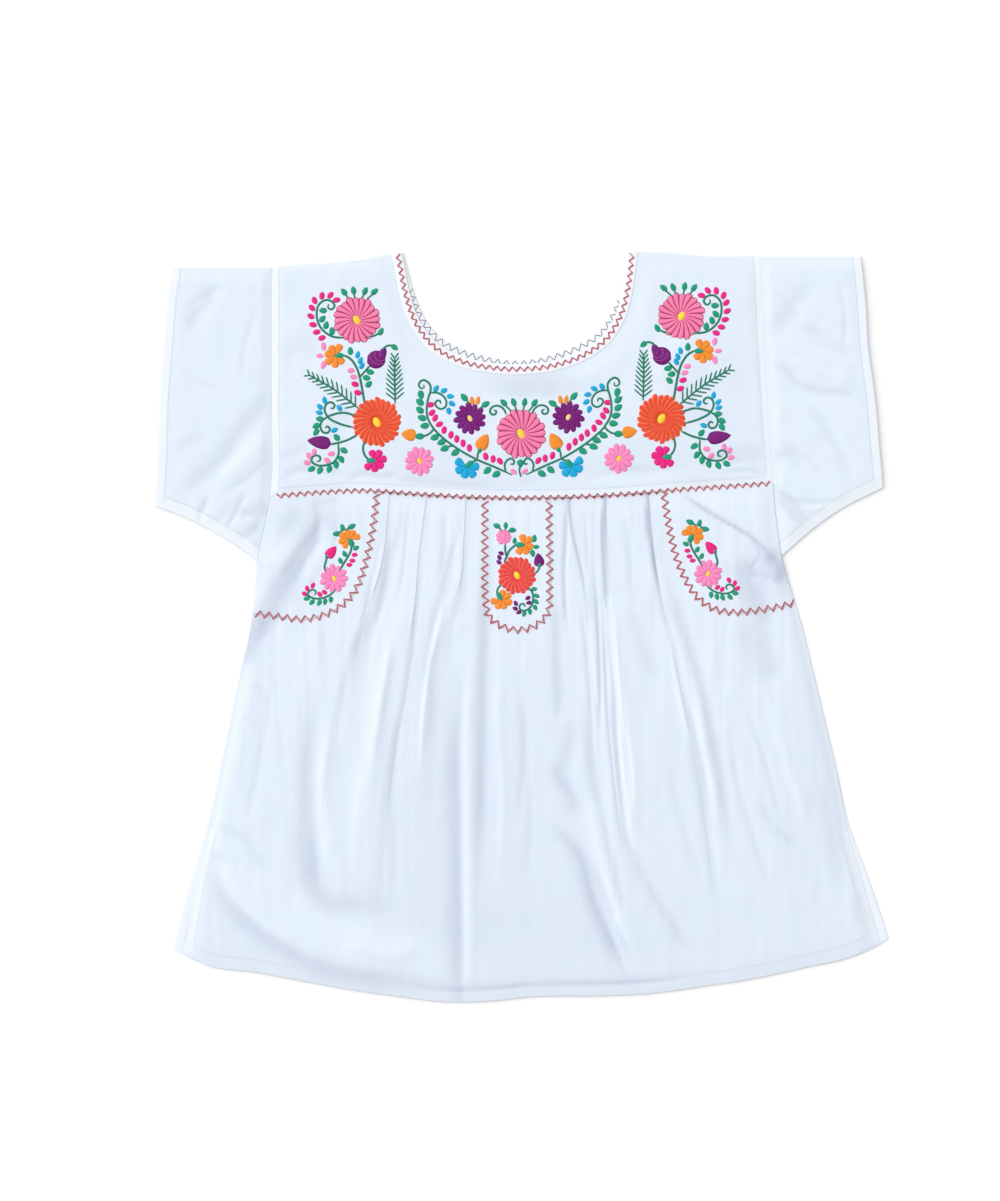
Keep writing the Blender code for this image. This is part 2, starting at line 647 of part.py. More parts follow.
def make_sleeve(name, collection, outward, seam_column, cuff, underarm, top, folds):
    """A flattened tube: under wall, folded edge at the top, upper wall, seamed edge below."""
    shares = np.append(np.linspace(0, 1 - CUFF_HEM_WIDTH / SLEEVE_LENGTH, SLEEVE_DOWN), 1.0)
    edge = FOLD_RADIUS + CLOTH / 2
    turn = np.linspace(0, math.pi, FOLD_STEPS + 1)[1:-1]
    across = np.linspace(0, 1, SLEEVE_ACROSS + 1) ** 1.3
    loops = []
    marks = []
    for share in shares:
        guess = float(edge_at(SIDES, 240, seam_column)) * (1 - share) + float(edge_at(cuff, 240)) * share
        low = float(height_along(underarm, guess))
        for _ in range(6):
            seam_x = float(edge_at(SIDES, low, seam_column))
            low_x = seam_x * (1 - share) + float(edge_at(cuff, low)) * share
            low = float(height_along(underarm, low_x))
        high = float(height_along(top, guess))
        low_mid = low + edge
        high_mid = high - edge
        under = [(low_mid + (high_mid - low_mid) * a, CLOTH / 2, 0) for a in across]
        over = [(low_mid + (high_mid - low_mid) * a, FRONT_MID, 1) for a in across[::-1]]
        middle = (CLOTH / 2 + FRONT_MID) / 2
        arc = [(FOLD_RADIUS * math.sin(t), FOLD_RADIUS * math.cos(t)) for t in turn]
        top_turn = [(high_mid + out, middle - up, 0) for out, up in arc]
        low_turn = [(low_mid - out, middle + up, 0) for out, up in arc]
        loop = []
        mark = []
        for y, z, upper in under + top_turn + over + low_turn + under[:1]:
            seam_x = float(edge_at(SIDES, y, seam_column)) + outward * SEAM_GAP / 2
            x = seam_x * (1 - share) + float(edge_at(cuff, y)) * share
            loop.append((x, y, z, upper, min(y - low, high - y)))
            mark.append(upper if share > 0.9 else 0)
        loops.append(loop)
        marks.append(mark)
    loops = np.array(loops)
    marks = np.array(marks, float)
    flat = loops[..., :2].reshape(-1, 2)
    lift = (SLEEVE_LIFT + folds_at(flat, folds)).reshape(loops.shape[:2])
    from_seam = shares[:, None] * SLEEVE_LENGTH
    towards_cuff = 0.6 + 0.4 * ease((1 - shares[:, None]) * 5)
    ends = loops[..., 3] * ease(loops[..., 4] / 16) * ease(from_seam / 12) * towards_cuff
    loops[..., 2] += settle(lift) * ends + marks * (HEM_CLOTH - CLOTH) / 2
    points = loops[..., :3]
    if outward < 0:
        points = points[::-1]
        marks = marks[::-1]
    return cloth_grid(name, points, WHITE_COTTON, collection, thick=marks, tube=True)


def make_back_body(collection):
    top_left = float(edge_at(SIDES, 125, 2))
    top_right = float(edge_at(SIDES, 137, 4))
    grid = []
    below_arm = np.linspace(ARMHOLE_SHARE, 1 - HEM_WIDTH / PANEL_DROP, BACK_DOWN)
    for v in np.concatenate([np.linspace(0, ARMHOLE_SHARE, 6), below_arm[1:], [1.0]]):
        row = []
        for u in np.linspace(0, 1, BACK_ACROSS + 1):
            top_x = top_left * (1 - u) + top_right * u
            bottom_x = -332 * (1 - u) + 347 * u
            lowest = float(height_along(FRONT_HEM, np.clip(bottom_x * 0.97, -322, 338))) + 4.0
            top_y = float(height_along(YOKE_SEAM, top_x)) - SEAM_GAP / 2
            y = top_y * (1 - v) + lowest * v
            left = float(edge_at(SIDES, y, 2)) + SEAM_GAP / 2
            right = float(edge_at(SIDES, y, 4)) - SEAM_GAP / 2
            row.append((left * (1 - u) + right * u, y, 0.0))
        grid.append(row)
    points = np.array(grid)
    return cloth_grid("back_body", points, WHITE_COTTON, collection, offset=1.0)


def lay_on(tree, x, y):
    """Height in millimetres of the highest cloth within a facet's reach of x, y."""
    heights = []
    for step_x, step_y in FACET_STEPS:
        at = Vector(((x + step_x - CENTRE_X) * MM, (y + step_y - CENTRE_Y) * MM, 0.1))
        hit = tree.ray_cast(at, Vector((0, 0, -1)))[0]
        if hit is not None:
            heights.append(hit.z / MM)
    return max(heights)


def patch(top, bottom, left, right):
    """Points x, y of a grid between four edges that meet at its corners, row by row from the top."""
    u = np.linspace(0, 1, len(top))[None, :, None]
    v = np.linspace(0, 1, len(left))[:, None, None]
    between_ends = (1 - v) * top[None] + v * bottom[None]
    between_sides = (1 - u) * left[:, None] + u * right[:, None]
    corners = (1 - v) * ((1 - u) * top[0] + u * top[-1]) + v * ((1 - u) * bottom[0] + u * bottom[-1])
    return between_ends + between_sides - corners


def lay_panel(name, flat, collection, tree):
    """A piece sewn on the front, set down on the cloth below it."""
    height = [[lay_on(tree, x, y) + PANEL_GAP + CLOTH / 2 for x, y in row] for row in flat]
    points = np.concatenate([flat, np.array(height)[..., None]], axis=-1)
    cloth_grid(name, points, WHITE_COTTON, collection)


def seam_below(x):
    """y of the upper edge of a piece that hangs from the yoke seam."""
    return height_along(YOKE_SEAM, x) - SEAM_GAP / 2 - 0.2


def make_side_panel(name, table, seam_column, side, split, collection, tree):
    across = np.linspace(0, 1, PANEL_ACROSS + 1)
    down = np.linspace(0, 1, PANEL_DOWN + 1)
    inner_edge = along(table, down * split)
    inner_edge[:, 1] += (seam_below(inner_edge[0, 0]) - inner_edge[0, 1]) * (1 - down)
    lower_edge = along(table, 1 - across * (1 - split))
    inset = side * (SEAM_GAP / 2 + 0.2)
    lower_edge[0, 0] = float(edge_at(SIDES, lower_edge[0, 1], seam_column)) - inset
    top_y = float(seam_below(side * 238))
    arm_edge = np.empty_like(inner_edge)
    arm_edge[:, 1] = top_y * (1 - down) + lower_edge[0, 1] * down
    arm_edge[:, 0] = edge_at(SIDES, arm_edge[:, 1], seam_column) - inset
    top_edge = np.empty_like(lower_edge)
    top_edge[:, 0] = arm_edge[0, 0] * (1 - across) + inner_edge[0, 0] * across
    top_edge[:, 1] = seam_below(top_edge[:, 0])
    top_edge[0, 1] = arm_edge[0, 1]
    flat = patch(top_edge, lower_edge, arm_edge, inner_edge)
    lay_panel(name, flat if side < 0 else flat[:, ::-1], collection, tree)


def make_centre_tab(collection, tree):
    across = np.linspace(0, 1, TAB_ACROSS + 1)
    down = np.linspace(0, 1, TAB_DOWN + 1)
    left_edge = along(TAB_EDGE, down * TAB_CORNER)
    right_edge = along(TAB_EDGE, 1 - down * TAB_CORNER)
    lower_edge = along(TAB_EDGE, TAB_CORNER + across * (1 - 2 * TAB_CORNER))
    for edge in (left_edge, right_edge):
        edge[:, 1] += (seam_below(edge[0, 0]) - edge[0, 1]) * (1 - down)
    top_edge = np.empty_like(lower_edge)
    top_edge[:, 0] = left_edge[0, 0] * (1 - across) + right_edge[0, 0] * across
    top_edge[:, 1] = seam_below(top_edge[:, 0])
    lay_panel("centre_tab", patch(top_edge, lower_edge, left_edge, right_edge), collection, tree)


def main():
    for piece in list(bpy.data.objects):
        bpy.data.objects.remove(piece)
    blouse = bpy.data.collections.new("embroidered_blouse")
    bpy.context.scene.collection.children.link(blouse)
    front_body = make_front_body(blouse)
    make_yokes(blouse)
    make_neck_bands(blouse)
    make_sleeve(
        "sleeve_left", blouse, -1, 1, LEFT_CUFF, LEFT_UNDERARM, LEFT_SLEEVE_TOP, LEFT_SLEEVE_FOLDS
    )
    make_sleeve(
        "sleeve_right", blouse, 1, 3, RIGHT_CUFF, RIGHT_UNDERARM, RIGHT_SLEEVE_TOP, RIGHT_SLEEVE_FOLDS
    )
    make_back_body(blouse)
    bpy.context.view_layer.update()
    tree = BVHTree.FromObject(front_body, bpy.context.evaluated_depsgraph_get())
    make_side_panel("side_panel_left", LEFT_PANEL_EDGE, 1, -1, 0.46, blouse, tree)
    make_side_panel("side_panel_right", RIGHT_PANEL_EDGE, 3, 1, 0.46, blouse, tree)
    make_centre_tab(blouse, tree)


main()
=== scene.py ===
"""Looks of an embroidered cotton blouse laid flat: thin cloth, creases, flowers, zigzags and stitches.

Tables hold millimetres on the blouse: x to the viewer's right, y from the hem to the neck.
"""

import math

import bmesh
import bpy
import numpy as np
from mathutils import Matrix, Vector, noise
from mathutils.bvhtree import BVHTree


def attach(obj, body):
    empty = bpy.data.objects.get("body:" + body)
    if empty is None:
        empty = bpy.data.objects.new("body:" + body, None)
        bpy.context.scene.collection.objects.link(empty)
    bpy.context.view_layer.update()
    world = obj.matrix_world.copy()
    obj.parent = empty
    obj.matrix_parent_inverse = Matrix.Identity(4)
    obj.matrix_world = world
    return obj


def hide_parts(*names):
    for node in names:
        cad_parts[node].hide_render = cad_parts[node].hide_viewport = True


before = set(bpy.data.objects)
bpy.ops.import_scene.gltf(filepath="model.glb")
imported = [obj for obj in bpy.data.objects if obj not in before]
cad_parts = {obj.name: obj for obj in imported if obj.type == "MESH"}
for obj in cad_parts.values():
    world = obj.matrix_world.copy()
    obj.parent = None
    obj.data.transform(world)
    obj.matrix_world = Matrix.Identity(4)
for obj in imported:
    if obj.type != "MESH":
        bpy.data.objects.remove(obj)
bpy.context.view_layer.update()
MM = 0.001

# Cloth and seams, as in the part
CLOTH = 1.0  # one layer's room in the part
LAYER_GAP = 0.3
SEAM_GAP = 0.04
FRONT_MID = CLOTH + LAYER_GAP + CLOTH / 2
FOLD_RADIUS = 0.65
PLEAT_RADIUS = 0.145  # tighter here than in the part, because the shown cloth is thinner
PLEATED_CLOTH = 0.2
HEM_WIDTH = 12.0
CUFF_HEM_WIDTH = 9.0
SLIT_HEM_WIDTH = 8.0
SLEEVE_LENGTH = 110.0
NECK_BAND_WIDTH = 10.0
SHOWN_CLOTH = 0.45  # thickness of the cloth that shows
SEAM_DROP = 1.12  # how far the front comes down to the back at the side seams and the hem
SEAM_DIP = 10.0
SHOULDER_DROP = 0.42  # how far the front comes down, and the back up, to meet at the shoulders
SHOULDER_RISE = 0.68
SHOULDER_DIP = 8.0
CENTRE_X = -0.53
CENTRE_Y = 0.45

PANEL_LIFT = 0.12  # how far a piece sewn on the front stands off it
ARMHOLE_TURNING = 6.5  # seam allowances that show through as whiter strips
YOKE_TURNING = 7.0
UNDERARM_TURNING = 12.0

# Finish
COTTON = (0.732, 0.815, 0.93, 1.0)
DOUBLED = (0.86, 0.895, 0.95, 1.0)
# Painted shade: the cotton is blended towards this colour in its troughs, at the feet of its pleats, on
# steep slopes and over wide soft areas
PAINTED_SHADE_COLOUR = (0.43, 0.49, 0.62, 1.0)
PAINTED_SHADE_SHARE = 0.55

# Table, light and camera, in metres
FLOOR_SIZE = 24.0
FLOOR_WHITE = (0.97, 0.97, 0.97, 1.0)
FLOOR_SHADE = (0.955, 0.955, 0.96, 1.0)
ROOM_COLOUR = (1.0, 1.0, 1.0, 1.0)
ROOM_LIGHT = 0.66
WINDOW_LIGHT = 2.1
WINDOW_SOFTNESS = 75.0
WINDOW_COLOUR = (1.0, 1.0, 1.0)
WINDOW_FROM = (-0.75, 0.55, 0.72)
CAMERA_HEIGHT = 6.0
FRAME_TALL = 1.14095
FRAME_MIDDLE = (-0.0204, 0.0252)

# Where the yoke meets the pleated front: x, y
YOKE_SEAM = (
    (-238, 124.5), (-197, 128), (-150, 130), (-95, 126.5), (-35, 123.5), (25, 123.5), (87, 126),
    (150, 131), (208, 135), (242, 137.5),
)

# Front hem, lowest edge of the blouse: x, y
FRONT_HEM = (
    (-322, -309), (-300, -320), (-254, -327), (-206, -336), (-159, -344.5), (-111, -351), (-70, -355.5),
    (-30, -354.5), (10, -350.5), (79, -349.5), (126, -347), (174, -340.5), (221, -333), (269, -322.5),
    (316, -310.5), (338, -299),
)

# Side seams and the slits below them. The back stands out past the front at the slits.
# y, left front, left back, right front, right back
SIDES = (
    (-356, -333, -344, 356, 368),
    (-309, -322, -332, 343, 352),
    (-283, -317, -326, 335.5, 344),
    (-235, -308, -312.5, 321.5, 327.5),
    (-188, -297.5, -298.5, 308.5, 310.5),
    (-140, -287.5, -287.5, 299.5, 299.5),
    (-93, -278, -278, 288.5, 288.5),
    (-45, -268, -268, 277, 277),
    (2, -257.5, -257.5, 265.5, 265.5),
    (26, -254.5, -254.5, 258.5, 258.5),
    (50, -252.5, -252.5, 251, 251),
    (62, -251.5, -251.5, 247.6, 247.6),
    (76, -248.8, -248.8, 245.3, 245.3),
    (90, -245.9, -245.9, 243.2, 243.2),
    (105, -242.7, -242.7, 241.2, 241.2),
    (120, -239.8, -239.8, 239.7, 239.7),
    (140, -237.7, -237.7, 238.6, 238.6),
    (205, -237.5, -237.5, 234, 234),
    (275, -237.5, -237.5, 230, 230),
    (358, -237.5, -237.5, 226, 226),
)

# Shoulder line of the yoke from the armhole to the neck, with the neck cut out between: x, y
LEFT_SHOULDER = ((-237.5, 342), (-206, 344.5), (-159, 348), (-124, 355))
RIGHT_SHOULDER = ((226, 352.5), (174, 352.5), (126, 356), (110, 356.3))

# Seam between the yoke and the front neck band, left shoulder to right: x, y
NECK_SEAM = (
    (-124, 355), (-121.5, 342), (-115, 311), (-104.5, 284), (-84, 260), (-59, 247.5), (-31, 241.5),
    (1, 240), (35, 244.5), (60, 253.5), (83, 269.5), (98, 293), (106.5, 325), (110, 356.3),
)
# How far the back's neck seam lies inside the front's, by the share of the way round
BACK_NECK_RISE = ((0, 1), (0.22, 5.5), (0.36, 6.5), (0.5, 3.5), (0.64, 6.5), (0.78, 5), (1, 1))

# Sleeve ends: cuff edge as y, x, and the underarm edge as x, y from the body to the cuff
LEFT_CUFF = (
    (60, -349.5), (121, -348.5), (169, -346), (216, -344.5), (264, -340.5), (311, -336.5),
    (342, -332),
)
LEFT_UNDERARM = (
    (-351, 116), (-339, 111.5), (-317, 103), (-292, 90), (-274, 79), (-259, 69), (-250, 61.5),
)
LEFT_SLEEVE_TOP = ((-351, 342), (-237, 342))
RIGHT_CUFF = ((60, 346), (131, 343), (169, 339.5), (216, 335.5), (264, 329), (311, 326), (353, 321.5))
RIGHT_UNDERARM = ((240, 61.5), (251, 71.5), (271, 89), (301, 111), (335, 128.5), (346, 134))
RIGHT_SLEEVE_TOP = ((225, 352.5), (346, 353))

# Pleats of the front, left to right. Each stands from its visible edge outwards, over itself.
# The edge runs down through points x, y; it has opened out into a soft fold at y "open".
# outward direction, depth at the yoke, open, edge
PLEATS = (
    (-1, 16, -105, ((-126, 130), (-132, 68), (-145, 20), (-162, -23), (-173, -64),
        (-180, -105), (-186, -150), (-190, -356))),
    (-1, 15, -200, ((-90, 130), (-98, 68), (-102, 20), (-108, -28), (-114, -72),
        (-123, -113), (-131, -161), (-134, -208), (-138, -356))),
    (-1, 15, -95, ((-53, 130), (-55, 92), (-59, 39), (-70, -4), (-78, -40), (-84, -90),
        (-88, -150), (-92, -356))),
    (1, 15, -150, ((44, 130), (47, 95), (58, 44), (62, 5), (68, -53), (72, -84),
        (78, -136), (85, -197), (92, -356))),
    (1, 15, -95, ((79, 130), (80, 68), (83, 24), (87, -28), (93, -80), (100, -130),
        (108, -190), (122, -260), (140, -356))),
    (1, 16, -160, ((119, 130), (124, 80), (129, 44), (137, 5), (147, -28), (155, -64),
        (162, -100), (172, -149), (179, -197), (192, -356))),
)
OPEN_ANGLE = 0.14  # slope left where a pleat has opened out, radians
OPEN_RISE = 1.0  # height of that slope
OPEN_BEND = 3.0  # length of the bend at its foot and at its top
CLOSED_SHARE = 0.45  # share of the way down that a pleat stays folded flat
LEAST_LAP = 2.4
LEAST_RUN = 0.3

# Soft folds as ridges (+) and troughs (-) over the lie of the cloth:
# height, its width or its widths to the left and right of its direction, then x, y along it
BODY_FOLDS = (
    (-1.7, 10, 9, ((-196, -64), (-202, -125), (-203, -160), (-199, -215), (-197, -245), (-183, -263),
        (-156, -265), (-118, -268))),
    (1.3, 9, ((-181, -95), (-187, -140), (-184, -200), (-176, -238))),
    (2.2, 27, 8, ((-290, -200), (-278, -243), (-250, -272), (-210, -298), (-168, -313), (-110, -324),
        (-62, -332))),
    (-0.8, 10, 8, ((-212, -190), (-206, -218), (-196, -246))),
    (-0.9, 5, ((-294, -188), (-264, -200), (-250, -218), (-238, -239))),
    (1.2, 5, ((-47, -10), (-50, -80), (-50, -150), (-49, -250), (-50, -340))),
    (-1.9, 3.5, 8, ((-58, -50), (-61, -120), (-60, -190), (-59, -260), (-57, -400))),
    (-1.7, 6, 5, ((-34, 90), (-35, 0), (-37, -100), (-38, -170), (-40, -240))),
    (-1.5, 7, 5, ((33, 30), (34, -20), (37, -96))),
    (-0.9, 6, 8, ((52, -84), (47, -112), (41, -138), (45, -160), (56, -190))),
    (-1.8, 5, 8, ((28, -184), (42, -199), (56, -214), (64, -243), (70, -263), (81, -288), (91, -312),
        (104, -335))),
    (1.5, 7, 8, ((66, -150), (74, -195), (84, -235), (94, -275), (108, -320))),
    (-1.3, 5, ((62, -76), (68, -136), (77, -185), (88, -232), (100, -285))),
    (1.1, 5, 4, ((94, -20), (98, -57), (103, -100), (107, -149), (104, -200), (112, -235))),
    (-1.1, 5, ((90, -165), (107, -216), (122, -246), (142, -279), (160, -302), (180, -305))),
    (-1.5, 6, ((136, 60), (152, 8), (169, -48), (179, -91), (187, -132), (196, -185), (203, -225))),
    (-1.2, 5, 4, ((158, -90), (168, -140), (176, -188), (181, -226), (187, -270))),
    (0.9, 5, 4, ((160, -30), (169, -80), (178, -130), (187, -180))),
    (-0.9, 8, ((288, -140), (293, -180), (299, -215), (306, -256))),
    (-1.4, 13, 16, ((216, 10), (228, -20), (244, -55))),
    (-1.4, 8, 10, ((-244, 20), (-254, -8), (-266, -40))),
    (-1.1, 5, ((26, -128), (38, -146), (50, -162), (58, -182))),
    (-1.2, 5, ((-109, 108), (-121, 77), (-133, 24), (-150, -17), (-157, -60))),
    (-1.3, 5, ((-64, 90), (-70, 44), (-82, 5), (-88, -33), (-92, -75))),
    (1.4, 6, 7, ((-121, 0), (-128, -40), (-136, -80), (-142, -125), (-146, -185))),
    (-0.8, 7, ((104, 18), (119, -23), (134, -56))),
    (-2.3, 12, 10, ((-189, 112), (-191, 94), (-201, 77), (-215, 57), (-226, 40), (-237, 18),
        (-256, -24))),
    (1.1, 8, ((-197, 114), (-206, 96), (-220, 76), (-233, 52))),
    (1.3, 6, ((-184, 104), (-185, 88), (-198, 59), (-208, 36))),
    (-1, 4, ((-203, 117), (-186, 119), (-170, 121))),
    (-0.8, 4, 3, ((150, 126), (160, 121), (173, 112), (188, 103), (204, 94), (220, 84), (231, 73),
        (238, 64))),
    (0.7, 8, 4, ((158, 132), (176, 120), (196, 108), (214, 99), (230, 88))),
    (-1.9, 11, ((216, 72), (212, 50), (222, 28), (238, -4))),
)
YOKE_FOLDS = (
    (-1, 3.5, ((-232, 138), (-212, 149), (-190, 149), (-160, 143))),
    (-0.8, 3, ((-234, 160), (-214, 166), (-196, 172))),
    (-0.6, 7, ((-130, 143), (-80, 140), (-20, 136), (50, 139))),
    (-1.2, 3.5, 4, ((190, 158), (212, 160), (236, 164))),
    (-0.9, 2.5, ((194, 147), (216, 149), (236, 145))),
    (-0.6, 8, ((-228, 256), (-210, 266), (-190, 262))),
    (0.9, 14, ((-180, 320), (-150, 270), (-120, 220))),
    (0.9, 14, ((180, 322), (152, 272), (116, 224))),
    (0.8, 18, ((-70, 215), (0, 200), (70, 214))),
    (-0.6, 9, ((-150, 238), (-165, 200), (-190, 180))),
    (-0.6, 9, ((150, 236), (168, 205), (200, 190))),
    (-1.2, 3, ((-168, 138), (-150, 146), (-132, 143), (-114, 146))),
    (-1, 4, 3, ((-124, 140), (-100, 139), (-70, 136), (-28, 134))),
    (-0.8, 4, ((60, 140), (92, 149), (124, 148), (158, 152))),
    (-1, 3, ((168, 151), (196, 165), (236, 169))),
)
LEFT_SLEEVE_FOLDS = (
    (-1.1, 7, ((-288, 322), (-300, 307), (-311, 292), (-316, 276))),
    (-1.5, 8, 9, ((-236, 236), (-247, 206), (-268, 182), (-283, 160), (-305, 140), (-324, 126))),
    (1.1, 10, ((-240, 180), (-262, 158), (-285, 136))),
    (-1.5, 5, ((-270, 109), (-255, 108), (-238, 116))),
    (-1.2, 5, ((-270, 84), (-258, 88), (-246, 99))),
    (-0.8, 4, ((-291, 96), (-282, 108), (-273, 118))),
    (-0.6, 6, ((-328, 170), (-307, 178), (-295, 178))),
)
RIGHT_SLEEVE_FOLDS = (
    (-1, 5, 6, ((262, 287), (280, 279), (296, 267), (322, 255))),
    (-1.5, 4, 5, ((236, 250), (253, 243), (267, 229), (281, 224), (303, 222), (328, 215))),
    (-1, 5, 6, ((272, 212), (287, 195), (298, 174), (308, 156), (314, 136))),
    (-1, 6, ((236, 163), (255, 163), (270, 149))),
    (-2, 5, ((243, 128), (257, 117), (269, 104), (283, 94))),
    (-0.9, 9, ((231, 283), (247, 288), (262, 310), (282, 327))),
    (1, 9, ((250, 262), (275, 252), (300, 243), (322, 236))),
)
BODY_LIFT = 1.6  # air under the middle of the front
YOKE_LIFT = 1.0
SLEEVE_LIFT = 1.7
SEAM_LIFT = 1.6  # how much the pleats raise the yoke's lower edge
FLOOR_ROUND = 0.35  # rounding where a trough reaches the layer below

# Pieces sewn on the front: outer edge from one end on the yoke seam to the other end, x, y
LEFT_PANEL_EDGE = (
    (-138, 128), (-140.5, 104), (-144, 82), (-150, 57), (-158, 36), (-172, 20.5), (-191, 11),
    (-211, 8), (-231, 10.5), (-254, 13.5),
)
RIGHT_PANEL_EDGE = (
    (134.5, 128), (137, 109), (141.5, 85), (146.5, 66), (156, 44), (167, 28), (181.5, 18),
    (200, 14.5), (221, 16), (242, 19.5), (259, 23.5),
)
TAB_EDGE = (
    (-35.5, 121), (-35.5, 70), (-35, 30), (-32, 11), (-20, 1.5), (-4, -2.4), (11, 1), (24, 13),
    (26, 38), (26, 77), (25.5, 121),
)

# Embroidery, in the same millimetres; directions are in degrees
# STEMS: thread width, path from the root to the tip
# LEAVES: thread, length, width, places of leaves that stand off the nearest stem
# BUDS: shape, thread, x, y, length, width, direction of the tip
# FLOWERS: kind, x, y, radius, turn
# CUPPED: thread, x, y, radius, petals, first and last petal, direction of the cup
# CROWNS: flower's x, y, and the buds that stand round it

# Shoulder spray, left; the right one mirrors it
SPRAY_STEMS = (
    (2.1, ((-168, 275), (-180.5, 276.5), (-191, 284.5), (-195, 296), (-193, 306.5), (-186.5, 311),
        (-180.5, 309.5), (-178, 305.5), (-181, 302), (-184.5, 304.5), (-183.5, 307))),
    (2, ((-147, 276), (-140.5, 277), (-136, 279.5))),
    (2.3, ((-149.5, 212.5), (-151.5, 224.5), (-154, 237), (-157.5, 247.5), (-163.5, 255.5), (-170, 259))),
    (2, ((-154, 238), (-149, 243.5), (-144.5, 248.5))),
    (2, ((-133, 263.5), (-128, 267.5), (-123.5, 268))),
    (2.1, ((-157.5, 201), (-170, 204), (-178.5, 202.5), (-185.5, 200))),
    (2.1, ((-160.5, 190), (-174.5, 194), (-184.5, 200), (-187.5, 206.5), (-186, 212), (-181.5, 214),
        (-178, 211), (-179.5, 208), (-182, 208.5))),
    (2.1, ((-185, 200), (-190, 196), (-191.5, 190.5), (-189, 185.5), (-184.5, 185), (-182.5, 188.5),
        (-185, 191), (-187, 189.5))),
    (2.1, ((-157, 182.5), (-166, 178), (-174, 175.5), (-181.5, 174))),
    (2.1, ((-174.5, 174.5), (-174.5, 164), (-179, 157), (-187, 154), (-195.5, 154.5), (-200, 158.5),
        (-198.5, 162.5), (-195, 163.5), (-191.5, 161), (-192.5, 158), (-195, 158))),
    (2.1, ((-149.5, 177), (-151, 169.5), (-149, 163), (-146, 159.5))),
)
SPRAY_LEAVES = (
    ("green", 8, 5.6, ((-189, 301), (-189.5, 293), (-186, 287), (-180.5, 281.5), (-163, 262.5),
        (-144, 242.5), (-147.5, 237), (-145.5, 231), (-192, 198), (-195.5, 191.5), (-195.5, 185.5),
        (-176, 180.5), (-169, 168), (-171.5, 159.5), (-176.5, 154.5), (-183, 150.5), (-192, 149),
        (-200, 150.5))),
    ("magenta", 7.8, 5.3, ((-176, 311), (-182, 315.5), (-190, 315), (-197, 310.5), (-199.5, 303.5),
        (-200.5, 295.5), (-198.5, 287.5), (-195, 280.5), (-190, 275), (-158.5, 231), (-156, 223))),
    ("light_pink", 7.4, 5, ((-162.5, 244), (-160, 238), (-181, 165), (-185, 158.5), (-197.5, 166.5),
        (-202.5, 163), (-204, 156.5))),
    ("blue", 7.4, 4.8, ((-156, 259), (-153.5, 253.5), (-152, 248.5), (-187.5, 216), (-192, 209.5),
        (-192.5, 204), (-173.5, 208.5), (-178, 187.5))),
)
SPRAY_BUDS = (
    ("leaf", "green", -134, 281, 8.4, 5.2, 62),
    ("leaf", "green", -121, 266, 7.8, 5.4, -38),
    ("oval", "light_pink", -188.5, 267, 8.2, 5, 100),
    ("oval", "light_pink", -192, 258, 7.4, 4.4, 172),
    ("oval", "light_pink", -188.5, 249.5, 8.6, 5.2, 250),
    ("bud", "purple", -192.5, 176, 23, 12.6, 171),
    ("bud", "orange", -107.5, 183, 14.6, 11.6, 173),
    ("leaf", "green", -97.5, 181.5, 9.6, 6.2, 178),
)
SPRAY_FLOWERS = (
    ("big_pink", -157, 292, 22, 4),
    ("big_orange", -138, 195, 23, 0),
    ("small_pink", -97.5, 158, 13.8, 12),
)
SPRAY_CUPPED = (
    ("orange", -177, 258, 12, 6, 67, 317, 182),
    ("magenta", -140, 158.5, 12, 6, -138, 108, 2),
)
SPRAY_CROWNS = (
    (-157, 292, ((-169, 318.5), (-160, 320), (-149, 319.5), (-140, 319))),
)
SPRAY_ROSE = (-138, 255)
SPRAY_FERNS = (  # longest barb, pairs of barbs, path from the tip
    (9, 11, ((-202.5, 240), (-178.5, 226), (-154.5, 207.5))),
    (9.5, 10, ((-121, 256.5), (-121, 235), (-120.5, 212.5))),
)

# Garland in the middle, left half; the right half mirrors it
GARLAND_STEMS = (
    (2.1, ((-9.5, 145), (-27.5, 153), (-43, 159.5), (-64.5, 172), (-74.5, 179.5), (-84, 189),
        (-90, 200.5), (-90.5, 208.5), (-89, 218), (-87, 224.5), (-87, 229.5), (-90, 233.5), (-94, 235),
        (-97.5, 232.5), (-98, 229.5), (-95.5, 227), (-93, 228), (-93.5, 230.5))),
    (2, ((-87.5, 223), (-81, 223), (-75, 220), (-72, 215), (-72.5, 210), (-76.5, 207.5), (-81, 209.5),
        (-82.5, 213.5), (-80.5, 215.5), (-77.5, 215), (-77.5, 212.5))),
    (2, ((-83.5, 189), (-87.5, 184.5), (-91, 182.5), (-95, 181.5))),
    (1.8, ((-65.5, 172.5), (-70, 172))),
    (2, ((-42.5, 160.5), (-42, 165), (-40, 169))),
    (2, ((-42, 159.5), (-47.5, 157), (-52, 154))),
    (2, ((-15, 202.5), (-17.5, 207.5), (-22.5, 210.5), (-28, 209.5), (-30.5, 206), (-29, 202.5),
        (-25.5, 202.5), (-24.5, 205.5), (-27, 206.5))),
    (2, ((-15.5, 148.5), (-16.5, 154.5), (-14, 159), (-10.5, 160.5), (-7.5, 158), (-8.5, 155),
        (-11, 155.5))),
    (1.8, ((-50.5, 212.5), (-52, 215.5))),
    (1.8, ((-40, 208), (-37.5, 210))),
)
